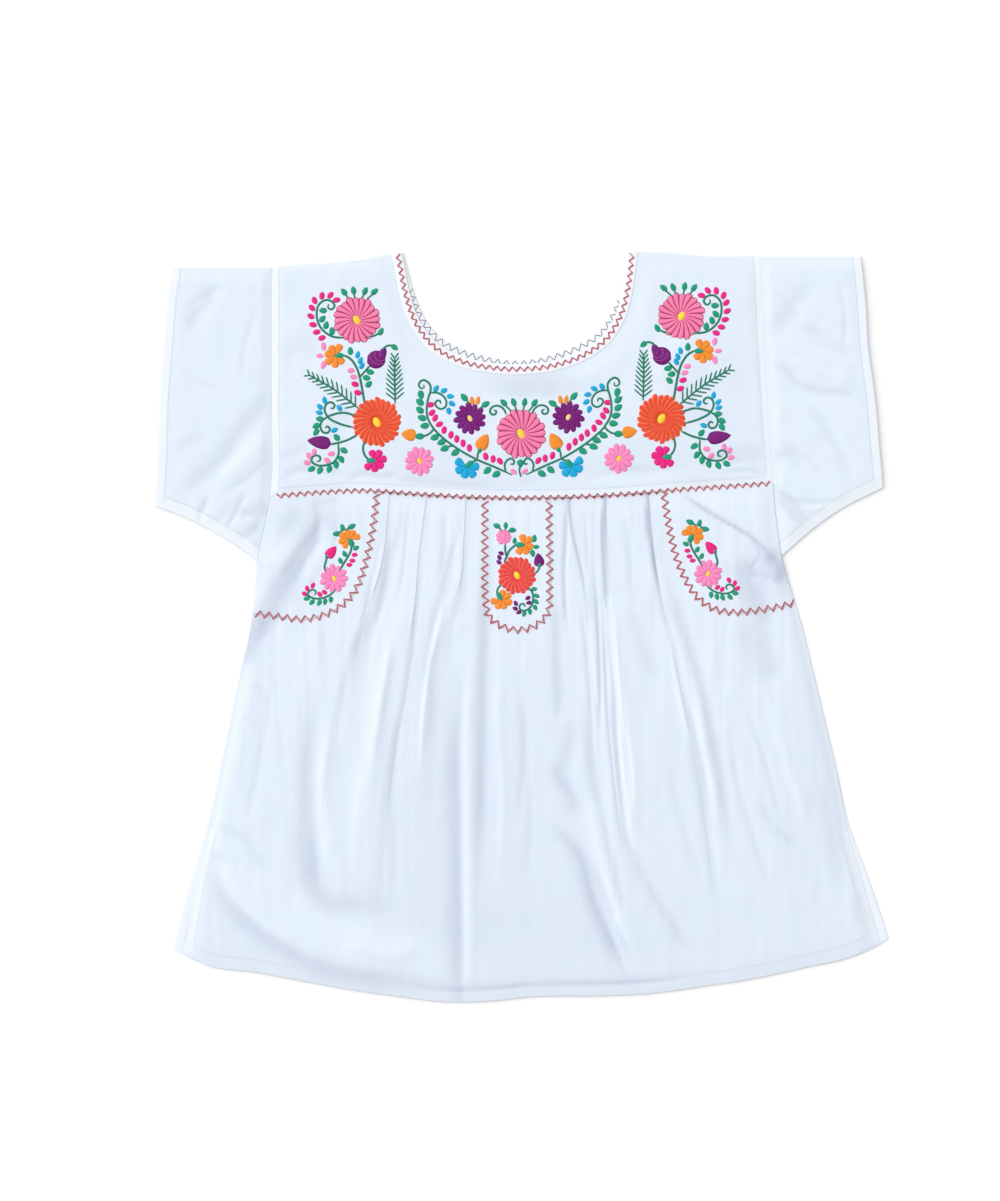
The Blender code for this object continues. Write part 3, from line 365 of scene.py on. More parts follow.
GARLAND_LEAVES = (
    ("green", 9, 6.2, ((-96, 221), (-97, 214), (-97, 206.5), (-95, 199), (-92.5, 191.5), (-83, 180.5),
        (-76.5, 176), (-73.5, 170), (-63.5, 166), (-33, 149), (-24.5, 145.5))),
    ("magenta", 7.8, 5.3, ((-87, 211.5), (-85.5, 204), (-82.5, 199), (-78.5, 193), (-74, 187.5),
        (-67.5, 183), (-62, 179), (-56, 175), (-50, 170.5), (-34.5, 162.5), (-27.5, 160), (-21, 158))),
    ("blue", 7.4, 5, ((-81.5, 227), (-74, 225), (-68, 219.5), (-66.5, 212.5), (-69.5, 205.5))),
)
GARLAND_BUDS = (
    ("bud", "orange", -37, 176, 17.4, 12.4, 60),
    ("leaf", "green", -40, 168.5, 6, 4.4, 70),
    ("leaf", "green", -55, 218.5, 9.2, 5.8, 132),
    ("leaf", "green", -34.5, 212, 8.8, 5.8, 28),
    ("leaf", "orange", -47.5, 215.5, 8.6, 4.6, 102),
    ("leaf", "orange", -42, 215.5, 8.6, 4.6, 78),
    ("oval", "light_pink", -8, 148, 7.4, 4.6, 140),
    ("leaf", "green", -52, 153.5, 6.6, 5, 215),
)
GARLAND_FLOWERS = (
    ("purple_star", -49.5, 198.5, 15, 8),
)
GARLAND_CUPPED = (
    ("blue", -52.5, 152.5, 12.6, 5, 148, 362, 225),
)

# Middle of the garland
MIDDLE_FLOWERS = (
    ("big_pink", -1, 184, 23.2, 3),
)
MIDDLE_CROWNS = (
    (-1, 184, ((-17.5, 213.5), (-8, 214), (2.5, 214), (12, 213.5))),
)
MIDDLE_BUDS = (
    ("drop", "green", -1.5, 155.5, 8.6, 7, 91),
)
MIDDLE_STEMS = (
    (1.8, ((-1, 143), (-2.5, 149.5), (-1.5, 154.5))),
)

# Spray on the left side panel; the right one mirrors it
PANEL_STEMS = (
    (2.1, ((-173.5, 54), (-169.5, 60.5), (-165.5, 67), (-162.5, 73), (-161.5, 80.5))),
    (2, ((-186, 53), (-187.5, 57), (-186.5, 62), (-185, 67.5))),
    (1.9, ((-177, 35.5), (-184, 30), (-192, 27.5), (-200, 28.5), (-203.5, 31.5), (-201.5, 35), (-198, 36),
        (-195.5, 33.5), (-197, 31))),
    (1.7, ((-167, 93.5), (-170.5, 92.5), (-174, 89.5))),
    (1.7, ((-166.5, 91.5), (-165.5, 94), (-163, 95.5))),
)
PANEL_LEAVES = (
    ("green", 6.6, 4.5, ((-157.5, 75.5), (-168.5, 70), (-172.5, 63.5), (-181.5, 26.5), (-187, 24.5),
        (-192.5, 23.5), (-199.5, 24), (-204.5, 27.5))),
    ("magenta", 6, 4.2, ((-159, 69), (-161, 63.5), (-164, 59.5), (-187.5, 33.5), (-192, 31.5),
        (-198.5, 40), (-204, 37), (-206.5, 32))),
)
PANEL_BUDS = (
    ("leaf", "green", -176, 89, 8, 5.2, 186),
    ("leaf", "green", -170.5, 95, 7.4, 4.6, 105),
    ("leaf", "green", -161.5, 96, 8.4, 5.2, 28),
    ("bud", "magenta", -181, 71.5, 14.2, 9.6, 50),
    ("leaf", "green", -185, 67.5, 4.6, 4, 60),
)
PANEL_FLOWERS = (
    ("small_pink", -178.5, 46.5, 13.2, 0),
)
PANEL_CUPPED = (
    ("orange", -164, 83.5, 11, 6, 18, 236, 120),
)

# Spray on the centre tab
TAB_STEMS = (
    (2.1, ((-17, 62), (-14.5, 67.5), (-12.5, 72.5), (-8.5, 76.5), (-3.5, 79.5), (-1, 79.5))),
    (1.9, ((-15, 67.5), (-16, 73.5), (-16, 79))),
    (1.9, ((12.5, 51.5), (15, 54), (17, 58.5))),
    (1.9, ((-19.5, 41), (-23, 37), (-23.5, 31), (-22, 28))),
    (1.9, ((6.5, 37.5), (10, 32.5), (10.5, 27), (9, 21), (5, 17), (0.5, 16), (-2.5, 18.5), (-1.5, 22),
        (1.5, 22.5), (3, 19.5))),
    (1.6, ((-19, 91.5), (-21.5, 94.5), (-23, 96))),
    (1.6, ((-16, 92.5), (-15.5, 95))),
    (1.6, ((-14, 91), (-11, 92))),
)
TAB_LEAVES = (
    ("green", 6.2, 4.2, ((-7, 82.5), (11.5, 36.5), (14, 30), (13.5, 24.5), (12.5, 19), (7.5, 15),
        (2, 13))),
    ("purple", 5.8, 4, ((-20, 70.5), (-21.5, 66.5), (-22, 62), (5.5, 28), (6.5, 23.5), (-6, 23),
        (-6.5, 18), (-3, 14.5))),
)
TAB_BUDS = (
    ("oval", "light_pink", -17.5, 86, 6, 6, 90),
    ("leaf", "green", -24, 96.5, 7.4, 5.2, 160),
    ("leaf", "green", -15.5, 97, 6.6, 4.4, 90),
    ("leaf", "green", -9, 92.5, 7.4, 5, 0),
    ("leaf", "green", 11.5, 84.5, 7.6, 5.2, 82),
    ("leaf", "green", 13.5, 76.5, 6.4, 4.2, 2),
    ("leaf", "green", 10, 70.5, 7.4, 5, -78),
    ("bud", "purple", 16, 64, 13.4, 10, 98),
    ("leaf", "green", 16.5, 59.5, 5, 5, 95),
)
TAB_FLOWERS = (
    ("big_coral", -5, 49.5, 17.8, 5),
    ("posy", -17.5, 86, 7.2, 0),
)
TAB_CUPPED = (
    ("orange", 1.5, 78.5, 10.6, 5, -125, 98, 2),
    ("orange", -19.5, 26.5, 10.8, 6, -169, 80, -62),
)

# Fine creases that the part's coarser folds leave out
FINE_FOLDS = (
    (1.6, 9, 6, ((-172, -300), (-144, -308), (-120, -312), (-96, -303))),
    (-1.9, 7, 11, ((-292, -206), (-284, -244), (-262, -276), (-223, -306), (-187, -324), (-135, -334),
        (-76, -336))),
    (-2.4, 2, ((-120, -339), (-70, -343), (-20, -341), (60, -338), (120, -335), (180, -329))),
    (-0.8, 5, ((225, -165), (245, -195), (268, -213))),
    (-0.8, 5, ((318, -252), (324, -285))),
    (0.7, 4, ((-20, -20), (-22, -90), (-18, -160), (-22, -240))),
    (-0.6, 4, ((6, -30), (4, -100), (8, -180), (2, -260))),
    (-0.6, 4, ((196, -100), (206, -150), (222, -205), (240, -260))),
    (0.6, 5, ((232, -60), (246, -110), (262, -160), (276, -215))),
    (-0.5, 4, ((-236, -60), (-246, -110), (-254, -150), (-262, -190))),
    (-0.7, 2.4, ((-262, -52), (-246, -62), (-238, -78))),
    (-0.7, 2.4, ((-268, -86), (-254, -92), (-246, -104))),
    (0.6, 5, ((-150, -120), (-156, -180), (-160, -240))),
    (-0.6, 4, ((-118, -100), (-122, -160), (-120, -220), (-126, -270))),
    (-0.6, 4, ((138, -120), (148, -170), (162, -215), (172, -250))),
    (-0.6, 4, ((-206, 60), (-196, 30), (-190, 0), (-188, -40))),
    (-2.8, 2, 1.6, ((150, 128), (160, 121), (173, 112), (188, 103), (204, 94), (220, 84), (240, 64))),
    (-2.5, 1.5, ((43, 128), (42, 90), (40, 52), (41, 22), (44, -6))),
    (-0.9, 2.4, ((55, 36), (62, -28), (66, -91), (67, -140))),
    (-1.2, 2, ((69, 60), (72, 10), (74, -40), (74, -123))),
    (1.1, 3, 2.2, ((88, 10), (93, -59), (96, -123), (104, -190))),
    (-0.8, 2.4, ((83, 6), (88, -59), (91, -123), (98, -190))),
    (-0.7, 1.6, ((76, 30), (79, -30), (82, -90), (88, -150), (96, -215))),
    (-1, 2.2, ((30, -186), (46, -204), (58, -226), (68, -262), (84, -298), (106, -342))),
    (-2, 1.5, ((78, 128), (77, 93), (80, 36), (82, 10))),
    (-2.1, 1.5, ((117, 128), (121, 88), (127, 56), (131, 34))),
    (-1.3, 4, 3, ((128, 39), (144, -21), (156, -72), (169, -123), (180, -190))),
    (1, 2.4, ((136, 10), (147, -47), (152, -75), (160, -110))),
    (-0.8, 2.2, ((98, 110), (102, 70), (104, 30))),
    (-0.8, 2.2, ((60, 112), (62, 80), (63, 50))),
    (-0.7, 2.4, ((-134, 100), (-137, 68), (-145, 31), (-154, -10), (-160, -44))),
    (-0.6, 2.2, ((-124, 112), (-127, 68), (-133, 28), (-144, -19), (-152, -72))),
    (1.2, 2.6, ((-124, -9), (-131, -56), (-137, -94), (-142, -125))),
    (-0.5, 2.2, ((-91, 84), (-99, 22), (-105, -31), (-115, -87), (-124, -150), (-126, -230))),
    (-0.6, 2, ((-53, 118), (-59, 93), (-67, 68), (-78, 30))),
    (1.2, 2.6, ((-72, 40), (-75, 22), (-88, -37), (-93, -80), (-97, -140))),
    (-1, 4, ((-67, 15), (-79, -25), (-84, -69), (-88, -130))),
    (-0.8, 2.2, ((-108, 112), (-112, 60), (-118, 20))),
    (-0.8, 2.2, ((-72, 112), (-74, 70), (-80, 40))),
    (-0.9, 4, ((60, -210), (86, -270), (112, -330))),
    (-0.8, 3, ((-1, -50), (2, -120), (-4, -190))),
    (-0.7, 3, ((212, -70), (232, -130), (248, -190))),
    (-0.9, 2.6, ((-300, -215), (-280, -222), (-262, -236))),
    (-1.1, 5, 1.8, ((218, 84), (225, 70), (214, 54))),
    (-1.1, 5, 1.8, ((212, 52), (232, 47), (250, 41))),
)
FINE_SLEEVE_FOLDS = {
    "left": (
        (-1.2, 2.5, ((-296, 126), (-304, 110), (-311, 96))),
        (-1.3, 2.5, ((-262, 128), (-272, 108), (-281, 92))),
        (-1.3, 2.5, ((-241, 121), (-249, 102), (-258, 86))),
        (-0.9, 2.5, ((-240, 160), (-262, 140), (-284, 126))),
        (-0.7, 3, ((-330, 250), (-304, 232), (-280, 222))),
        (-0.7, 3, ((-322, 300), (-300, 316), (-280, 326))),
        (-0.6, 3, ((-252, 300), (-262, 270), (-266, 240))),
    ),
    "right": (
        (-1.4, 2.5, ((240, 124), (264, 101), (276, 89))),
        (-1.2, 2.5, ((237, 135), (261, 120), (298, 119))),
        (-0.8, 2.5, ((244, 180), (270, 160), (292, 140))),
        (-0.8, 3, ((246, 262), (276, 252), (318, 238))),
        (-0.7, 3, ((300, 330), (308, 290), (304, 262))),
        (-0.6, 3, ((240, 320), (256, 306), (266, 290))),
    ),
}
BACK_FOLDS = (
    (0.5, 9, ((-60, 110), (-64, 20), (-70, -90), (-66, -200), (-72, -320))),
    (0.6, 10, 8, ((20, 100), (26, -10), (22, -120), (34, -230), (40, -330))),
    (0.5, 9, ((120, 100), (132, 10), (150, -90), (166, -190), (182, -310))),
    (0.5, 8, 10, ((-150, 90), (-166, 0), (-180, -100), (-196, -210), (-206, -300))),
    (0.6, 12, 8, ((-280, -180), (-240, -230), (-170, -262), (-90, -280))),
    (0.5, 10, ((230, 30), (246, -60), (262, -150), (284, -240))),
)
BACK_YOKE_FOLDS = (
    (0.4, 12, ((-190, 300), (-150, 240), (-110, 180))),
    (0.4, 12, ((190, 300), (150, 240), (112, 180))),
    (0.4, 14, ((-90, 210), (0, 190), (90, 208))),
)

# Wide soft areas of painted shade: share, x, y, width, height
SHADED_AREAS = (
    (0.34, 0, -300, 330, 75),
    (0.16, 0, -150, 300, 110),
    (0.75, 12, 229, 48, 13),
    (0.26, 0, 158, 240, 26),
    (0.2, 170, 250, 60, 90),
    (1.2, 236, 67, 8, 9),
    (1.5, 246, 53, 8, 13),
    (0.4, 222, 46, 13, 24),
    (0.35, -255, -12, 12, 34),
    (0.6, -207, 102, 34, 18),
    (0.3, -212, 58, 22, 44),
    (0.4, -34, 60, 5, 70),
    (0.25, 268, -160, 26, 120),
    (0.2, -60, -150, 60, 120),
)

# How finely the shown cloth is divided
BODY_ROWS = 120
FOLD_STEPS = 5
SIDE_COLUMNS = 78
BETWEEN_COLUMNS = 19
MIDDLE_COLUMNS = 60
YOKE_AROUND = (48, 120, 48)
YOKE_RINGS = 76
SLEEVE_ACROSS = 104
SLEEVE_DOWN = 52
BACK_ACROSS = 120
BACK_DOWN = 96
PANEL_ACROSS = 76
PANEL_DOWN = 76
TAB_ACROSS = 32
TAB_DOWN = 60
FOLDED_SHARE = 0.45  # how far down towards its open end a pleat is still folded over

# Columns of SIDES
LEFT_FRONT, LEFT_BACK, RIGHT_FRONT, RIGHT_BACK = 1, 2, 3, 4

# How the cloth lies, beyond the folds placed by hand
PATH_FINENESS = 4  # points read along a fold for each one given
FOLD_TAPER = 4  # a fold is at its height after one part in so many of its length
FOLD_END = 0.15  # share of its height that it keeps at its very ends
ARMHOLE_LOW = (125, 137)  # y where the yoke seam meets the left and the right side seam
YOKE_CORNER = 238  # x, left and right, near the ends of the yoke seam
PLEAT_TOP = 125.0  # y at which the pleats are folded flat
PLEAT_SINK = 0.9  # share of its height that an opened pleat loses
PLEAT_SINK_LENGTH = 130  # and over what length
FOLD_MARGIN = 1.0  # how far past a pleat the cloth on it is laid
LAP_STATIONS = (0.12, 0.35)  # where the cloth that lies on a pleat is held, of that margin
LEFT_RISE = (0.3, 1.0)  # over which shares the cloth beside the outer pleats rises to them
RIGHT_RISE = (0.0, 0.7)
FRONT_RISES = (16, 22, 26)  # distance to full height from the sides, the yoke seam and the hem
HEM_HEIGHT = 0.35  # share of its height that the front has at its hem
CRUMPLE_AT_HEM = 0.4  # share of the long wrinkles that reaches the hem
CRUMPLE_LOW = -220
CRUMPLE_FADE = 300
UNDERARM_Y = 60  # the side seam lies on the back from here down
UNDERARM_FADE = 30
SLIT_TOP = -190
BACK_SLIT_TOP = -178
YOKE_RISES = (18, 14, 14)  # distance to full height from the neck, the other seams and the shoulder
SHOULDER_Y = 350
NEAR_YOKE_SEAM = 26
PLEATED_HALF = 175  # half the width of the pleated part of the yoke seam
PLEATED_FADE = 40
NECK_CORNERS = (0.3, 0.7)  # shares of the neck seam that face the yoke's lower corners
SHORT_STEP = 0.004  # share of a line over which its direction is read
BAND_LINES = 7
BAND_CROWN = 0.16
BAND_CLOTH = 0.8
BAND_TIPS = (1.0, 0.3)  # how much the left and right shoulder rise across a neck band
FRONT_BAND = (FRONT_MID + 0.1, -0.3)  # height of a neck band, and its change at the shoulder
BACK_BAND = (0.5, 0.24)
SLEEVE_SPACING = 1.15  # above 1 the folds at the underarm are drawn more finely
SLEEVE_MIDDLE_Y = 240
SEAM_ROUNDS = 6
SLEEVE_RISES = (16, 12)  # distance to full height from the edges and from the armhole
CUFF_HEIGHT = 0.6  # share of its height that a sleeve has at its cuff
CUFF_RISE = 5
BACK_CORNERS = (-332, 347)  # x of the back's hem
BACK_HEM_SHARE = 0.97  # the back's hem follows the front's a little inside it
BACK_HEM_RISE = 4.0
BACK_RISE = 20
PANEL_REACH = 1.8  # how far round a point the highest cloth below is looked for
PANEL_MARGIN = 0.2
PANEL_CORNER = 0.46
TAB_CORNER = 0.41

# Small uneven wrinkles: their width, length and height in millimetres, and where the noise starts
CRUMPLES = {
    "front_long": (11, 110, 0.6, 3),
    "front": (24, 30, 0.35, 7),
    "yoke": (26, 30, 0.5, 11),
    "back_yoke": (26, 30, 0.3, 17),
    "sleeve_right": (24, 24, 0.45, 23),
    "sleeve_left": (24, 24, 0.45, 28),
    "back": (20, 60, 0.4, 31),
    "panels": (20, 24, 0.3, 41),
}

# What the cotton reads at each point of the cloth
NOT_TURNED = -50.0  # millimetres inside a doubled strip, far outside any
USUAL_WHITER = 0.6
FRONT_WHITER = (0.5, 0.12)  # at the slits, and at the hem
YOKE_WHITER = (0.5, 0.8)  # at the yoke seam, and at the armholes
BACK_WHITER = (0.6, 0.3)
SLEEVE_WHITER = 0.75
# Painted shade: the share that the sleeves keep, how dark troughs are painted, and the painted shadow
# line and soft shadow at the foot of each closed pleat
SLEEVE_SHADE = 0.7
TROUGH_SHADE = 0.75
SHADED_DEPTH = 2  # depth of a trough that is fully shaded
TROUGH_SHADE_RANGE = (-0.35, 1.6)
PLEAT_SHADE_PAST = 40  # how far below the place where a pleat has opened its shade begins
PLEAT_SHADE_FADE = 110
PLEAT_SHADOW = 0.22
PLEAT_SHADOW_WIDTH = 5
PLEAT_SHADOW_LINE = 1.9
PLEAT_SHADOW_LINE_WIDTH = 1.3
PLEAT_SHADOW_LINE_START = 0.3

# Cotton: ranges are from, to, then what they become
COTTON_THREADS = 1100.0  # to the metre
WAVES_A_THREAD = 0.16
WEAVE_WOBBLE = 0.6
SLUB_ALONG = 40.0
SLUB_ACROSS = 900.0
SLUB_MOTTLE = 0.25
CLOUD = (26.0, 3.0, 0.55)  # scale, detail and roughness of its soft unevenness
DOUBLED_UNEVENNESS = 0.7
STRIP_WOBBLE = 1.2
STRIP_BLUR = 0.35
STRIP_LINE = (0.2, 1.3, 0.6, 0.0)
# painted shade on steep slopes, and how much the random mottle adds to the painted shade
SLOPE_SHADE = (0.3, 1.0, 0.0, 0.15)
MOTTLE_SHADE = 0.35
MOST_SHADE = 1.8
CLOUDY = (-0.3, 0.3, 0.0, 0.2)
COTTON_ROUGHNESS = (-0.3, 0.3, 0.82, 0.95)
COTTON_SURFACE = {"Sheen Weight": 0.12, "Sheen Roughness": 0.5, "Specular IOR Level": 0.25}
COTTON_BUMP = 0.5
THREAD_RELIEF = 0.00012  # metres

# Thread
SATIN_THREADS = 2600.0  # to the metre
SATIN_WOBBLE = 1.2
SATIN_STRETCH = (60.0, 1500.0, 1.0)
# Painted shade between the threads, and how much a random unevenness along them adds to it
BETWEEN_THREADS = (0.0, 0.75, 0.55, 0.0)
UNEVEN_SHADE = (0.35, 0.7, 0.3, 0.0)
UNEVEN_RELIEF = 0.6
SATIN_ROUGHNESS = (0.2, 0.8, 0.42, 0.6)
SATIN_SURFACE = {"Sheen Weight": 0.04, "Specular IOR Level": 0.28}
SATIN_BUMP = 0.6

# Table and studio
FLOOR_LEVEL = -0.0004
FLOOR_FACES = 8
FLOOR_CLOUD = 3.0
FLOOR_CLOUDY = (0.3, 0.7, 0.0, 0.4)
FLOOR_SURFACE = {"Roughness": 0.9, "Specular IOR Level": 0.1}
FILM_WIDTH = 36.0
CAMERA_RANGE = (0.1, 50.0)
RAY_HEIGHT = 0.1  # metres above the table, over all the cloth

# Where the embroidery lies
MIDDLE_X = -2.8  # the yoke's embroidery is mirrored about this line
PANEL_MIDDLE_X = -1.0
TILT = 0.0125  # the embroidery hoop sat a little askew: the right side is this much higher

# Thread colours on a 0 to 255 chart: the thread, and a darker copy of it painted as shade between its
# threads and, at random, along them
THREADS = {
    "green": ((18, 168, 130), (4, 122, 92)),
    "stem_green": ((34, 140, 110), (16, 102, 80)),
    "pink": ((255, 140, 184), (236, 102, 156)),
    "pink_line": ((192, 78, 112), (156, 52, 88)),
    "light_pink": ((255, 152, 202), (238, 116, 176)),
    "light_pink_line": ((250, 128, 186), (226, 96, 158)),
    "magenta": ((246, 32, 142), (208, 10, 112)),
    "orange_red": ((244, 82, 44), (214, 52, 26)),
    "orange_red_line": ((255, 140, 96), (196, 60, 34)),
    "coral": ((246, 76, 66), (214, 46, 48)),
    "coral_line": ((255, 134, 118), (196, 56, 56)),
    "orange": ((250, 154, 50), (234, 118, 24)),
    "purple": ((130, 8, 126), (92, 2, 94)),
    "purple_line": ((196, 92, 190), (150, 40, 146)),
    "blue": ((0, 182, 226), (0, 140, 200)),
    "yellow": ((255, 232, 66), (244, 190, 40)),
    "cream": ((250, 232, 150), (226, 190, 104)),
    "brick": ((158, 42, 48), (124, 28, 38)),
    # painted shadow: this paler thread is laid beside the brick zigzags where their shadow falls
    "zigzag_shadow_rose": ((232, 150, 152), (200, 118, 122)),
    "mole": ((128, 112, 124), (96, 84, 96)),
    "white": ((236, 240, 248), (196, 204, 218)),
}

# Shape of a satin patch: how far towards the tip it is fullest, and how pointed its ends are
SHAPES = {"leaf": (0.84, 0.62), "oval": (1.0, 0.46), "bud": (0.66, 0.7), "drop": (1.5, 0.7)}

# Flowers: petals, petal, line round it, middle, size of the middle, length of the tip for its width,
# swirl, and how far the petals fill the way round
FLOWER_KINDS = {
    "big_pink": (20, "pink", "pink_line", "yellow", 0.19, 0.9, 6, 0.94),
    "big_orange": (24, "orange_red", "orange_red_line", "yellow", 0.2, 1.2, 10, 0.93),
    "big_coral": (20, "coral", "coral_line", "yellow", 0.2, 1.1, 8, 0.92),
    "small_pink": (11, "light_pink", "light_pink_line", "yellow", 0.2, 1.5, 0, 1.12),
    "posy": (9, "light_pink", "light_pink_line", "light_pink", 0.5, 1.0, 0, 1.2),
    "purple_star": (12, "purple", "purple", "cream", 0.2, 2.0, 4, 1.3),
}
PATCH_HEIGHT = 0.5  # how far satin stitch stands up off the cloth
LINE_HEIGHT = 0.36
STEM_HEIGHT = 0.6
THREAD_WALL = 0.25

# Lighter lines on the rose, from its middle
ROSE_LINES = (
    ((-0.6, 6.8), (-1.8, 2.2), (1.0, -1.6), (5.0, -2.0), (7.8, -0.2)),
    ((-5.9, 4.2), (-4.8, -1.6), (0.0, -5.0), (6.6, -3.8)),
    ((2.2, 5.4), (4.4, 3.4), (3.4, 0.8)),
)

# Stitches
SATIN_FACES = (8, 4)  # faces along and across a satin patch
STRAIGHT_FACES = (4, 2)
STEM_ACROSS = 3
STEM_FACE = 1.4  # length of one face along a stem
LEAST_STEM_FACES = 6
DOME = (1.06, 3, 0.1)  # how full a patch is, how square its shoulders are, how deep its edge dips
BLUNT = 0.06  # share of its width that a leaf has at its ends
SATIN_SLANT = 0.35
LEAF_END = 0.35  # share of its height that a leaf has at its ends
PETAL_END = 0.5
LEAF_LEAN = 0.6
CURL_STEP = 0.01  # share of a stem over which its direction is read
STITCH_STEP = 0.003
STEM_END = 0.55  # share of its width that a stem has at its ends
STEM_TAPER = 6
STEM_TWIST = (2.0, 0.9)
STITCH_END = 0.9  # where along a stitch its rounded end starts
STITCH_END_WIDTH = 0.6
STITCH_END_HEIGHT = 0.5
ZIGZAG_OVERLAP = 0.7
OVAL_THREADS = ("magenta", "light_pink")  # leaves of these are oval
CENTRE_OPENING = 0.7  # petals start inside this share of the middle's size
LINE_PAST = 0.25  # how far the line round a petal stands out past it
LINE_WIDER = 1.2
UNEVEN_PETALS = 0.045
LEAST_PETAL = 0.04  # half the width that a petal keeps at its tip
PETAL_TURN = 2.4  # makes the unevenness of the petals run round irregularly
MIDDLE_SHAPE = (2.3, 1.7, 0.85)  # length and width for its size, and height
MIDDLE_TURN = (90, 28)
CUP_UNEVEN = 0.12
CUP_TURN = 2.2
CUP_OVERLAP = 1.02
CUP_INNER = 0.5
CUP_TIP = 0.95
CUP_BACK = 3.2  # how far behind the petals the green cup sits
CUP_SHAPE = (9.4, 5.6)
CUP_HEIGHT = 0.95
CROWN_LEAN = 0.6
CROWN_ROOT = (0.55, 0.72)  # where the stalk of a bud starts, as shares of the way to it
CROWN_STALK = 1.7
CROWN_BUD = (8.4, 5.4)
FERN_SPINE = 1.8
FERN_START = 0.02
FERN_SHARE = 0.9
FERN_STEP = 0.05
FERN_LENGTHS = (0.68, 0.5, 1.6)
FERN_ANGLES = (36, 16)
FERN_BARB = (1.6, 0.45)  # width and height
ROSE_BUD = (-0.4, -0.6, 18.4, 17.2, 20, 0.5)  # x and y off its middle, length, width, turn, height
ROSE_PETAL = (5.4, 4.8, 14.0, 8.0, 68, 0.75)
ROSE_LINE = (0.9, 1.1)
RUNNING_PITCH = 3.2
RUNNING_LONG = 2.3
RUNNING_WIDTH = 0.55
RUNNING_HEIGHT = 0.3

# Zigzags: from point to point along the seam, and how wide they swing
SEAM_ZIGZAG = (7.5, 4.3)
NECK_ZIGZAG = (7.3, 4.2)
PANEL_ZIGZAG = (8.5, 6.4)
BACK_NECK_ZIGZAG = (8.2, 5.6)
ZIGZAG_WIDTH = 1.05
ZIGZAG_SHADOW = (0.5, -0.5)  # a painted shadow: a paler zigzag laid beside the brick one, off towards where its shadow falls
ZIGZAG_SHADOW_WIDTH = 1.3
BACK_NECK_THREAD = 0.75
NECK_ZIGZAG_INWARD = 5.6
BACK_NECK_ZIGZAG_INWARD = 7.2
SEWN_SHARE = (0.004, 0.996)
BACK_NECK_SHARE = (0.1, 0.87)
YOKE_SEAM_SEWN = (-233, 235)
HEM_SEWN = (-314, 329)
SLIT_SEWN = (-296, -192)
HEM_STITCH_RISE = 11.0
HEM_STITCH_INSIDE = 0.8

# Cuff stitches: cuff, direction towards the body, from y, to y
CUFF_STITCHES = {"left": (LEFT_CUFF, 1, 118, 338), "right": (RIGHT_CUFF, -1, 134, 349)}

# Sleeves: outward direction, column of the seam in SIDES, cuff, underarm, top edge and folds
SLEEVES = {
    "left": (-1, LEFT_FRONT, LEFT_CUFF, LEFT_UNDERARM, LEFT_SLEEVE_TOP, LEFT_SLEEVE_FOLDS),
    "right": (1, RIGHT_FRONT, RIGHT_CUFF, RIGHT_UNDERARM, RIGHT_SLEEVE_TOP, RIGHT_SLEEVE_FOLDS),
}

# Fineness of curves
LEAN_READ = 3  # points of a stem over which its direction is read
STEM_POINTS = 60
LEAST_LENGTH = 1e-6
LENGTH_POINTS = 400
STITCH_REACH = 0.9
SEAM_POINTS = 60
HEM_POINTS = 80
SLIT_POINTS = 20
CUFF_POINTS = 30

# Each spray: stems, leaves, buds, flowers, flowers seen from the side, and crowns of buds
SHOULDER_SPRAY = (
    SPRAY_STEMS, SPRAY_LEAVES, SPRAY_BUDS, SPRAY_FLOWERS, SPRAY_CUPPED, SPRAY_CROWNS,
)
GARLAND = (GARLAND_STEMS, GARLAND_LEAVES, GARLAND_BUDS, GARLAND_FLOWERS, GARLAND_CUPPED, ())
GARLAND_MIDDLE = (MIDDLE_STEMS, (), MIDDLE_BUDS, MIDDLE_FLOWERS, (), MIDDLE_CROWNS)
PANEL_SPRAY = (PANEL_STEMS, PANEL_LEAVES, PANEL_BUDS, PANEL_FLOWERS, PANEL_CUPPED, ())
TAB_SPRAY = (TAB_STEMS, TAB_LEAVES, TAB_BUDS, TAB_FLOWERS, TAB_CUPPED, ())


def smooth(knots, values, at):
    """Cubic through the values at the knots, which rise."""
    knots = np.asarray(knots, float)
    values = np.asarray(values, float)
    slopes = np.gradient(values, knots)
    at = np.clip(at, knots[0], knots[-1])
    i = np.clip(np.searchsorted(knots, at, side="right") - 1, 0, len(knots) - 2)
    span = knots[i + 1] - knots[i]
    t = (at - knots[i]) / span
    rise = t * t * (3 - 2 * t)
    leave = t * (1 - t) ** 2 * span
    arrive = t * t * (t - 1) * span
    return values[i] * (1 - rise) + values[i + 1] * rise + slopes[i] * leave + slopes[i + 1] * arrive


def column(table, index):
    return np.array([row[index] for row in table], float)


def height_along(table, x):
    """y of an edge given as x, y."""
    order = np.argsort(column(table, 0))
    return smooth(column(table, 0)[order], column(table, 1)[order], x)


def edge_at(table, y, index=1):
    """x of an edge given as y, x."""
    return smooth(column(table, 0), column(table, index), y)


def along(points, share):
    """Points at the given shares of the length of a smooth line."""
    points = np.asarray(points, float)
    steps = np.hypot(*np.diff(points, axis=0).T)
    knots = np.concatenate([[0.0], np.cumsum(steps)]) / steps.sum()
    return np.stack([smooth(knots, points[:, 0], share), smooth(knots, points[:, 1], share)], axis=-1)


def line_length(points):
    fine = along(points, np.linspace(0, 1, LENGTH_POINTS))
    return float(np.hypot(*np.diff(fine, axis=0).T).sum())


def ways_along(points, share, step):
    """Direction of a smooth line at the given shares, each of length 1."""
    ahead = along(points, np.clip(share + step, 0, 1))
    behind = along(points, np.clip(share - step, 0, 1))
    way = ahead - behind
    return way / np.maximum(np.hypot(way[:, 0], way[:, 1]), LEAST_LENGTH)[:, None]


def ease(value):
    value = np.clip(value, 0, 1)
    return value * value * (3 - 2 * value)


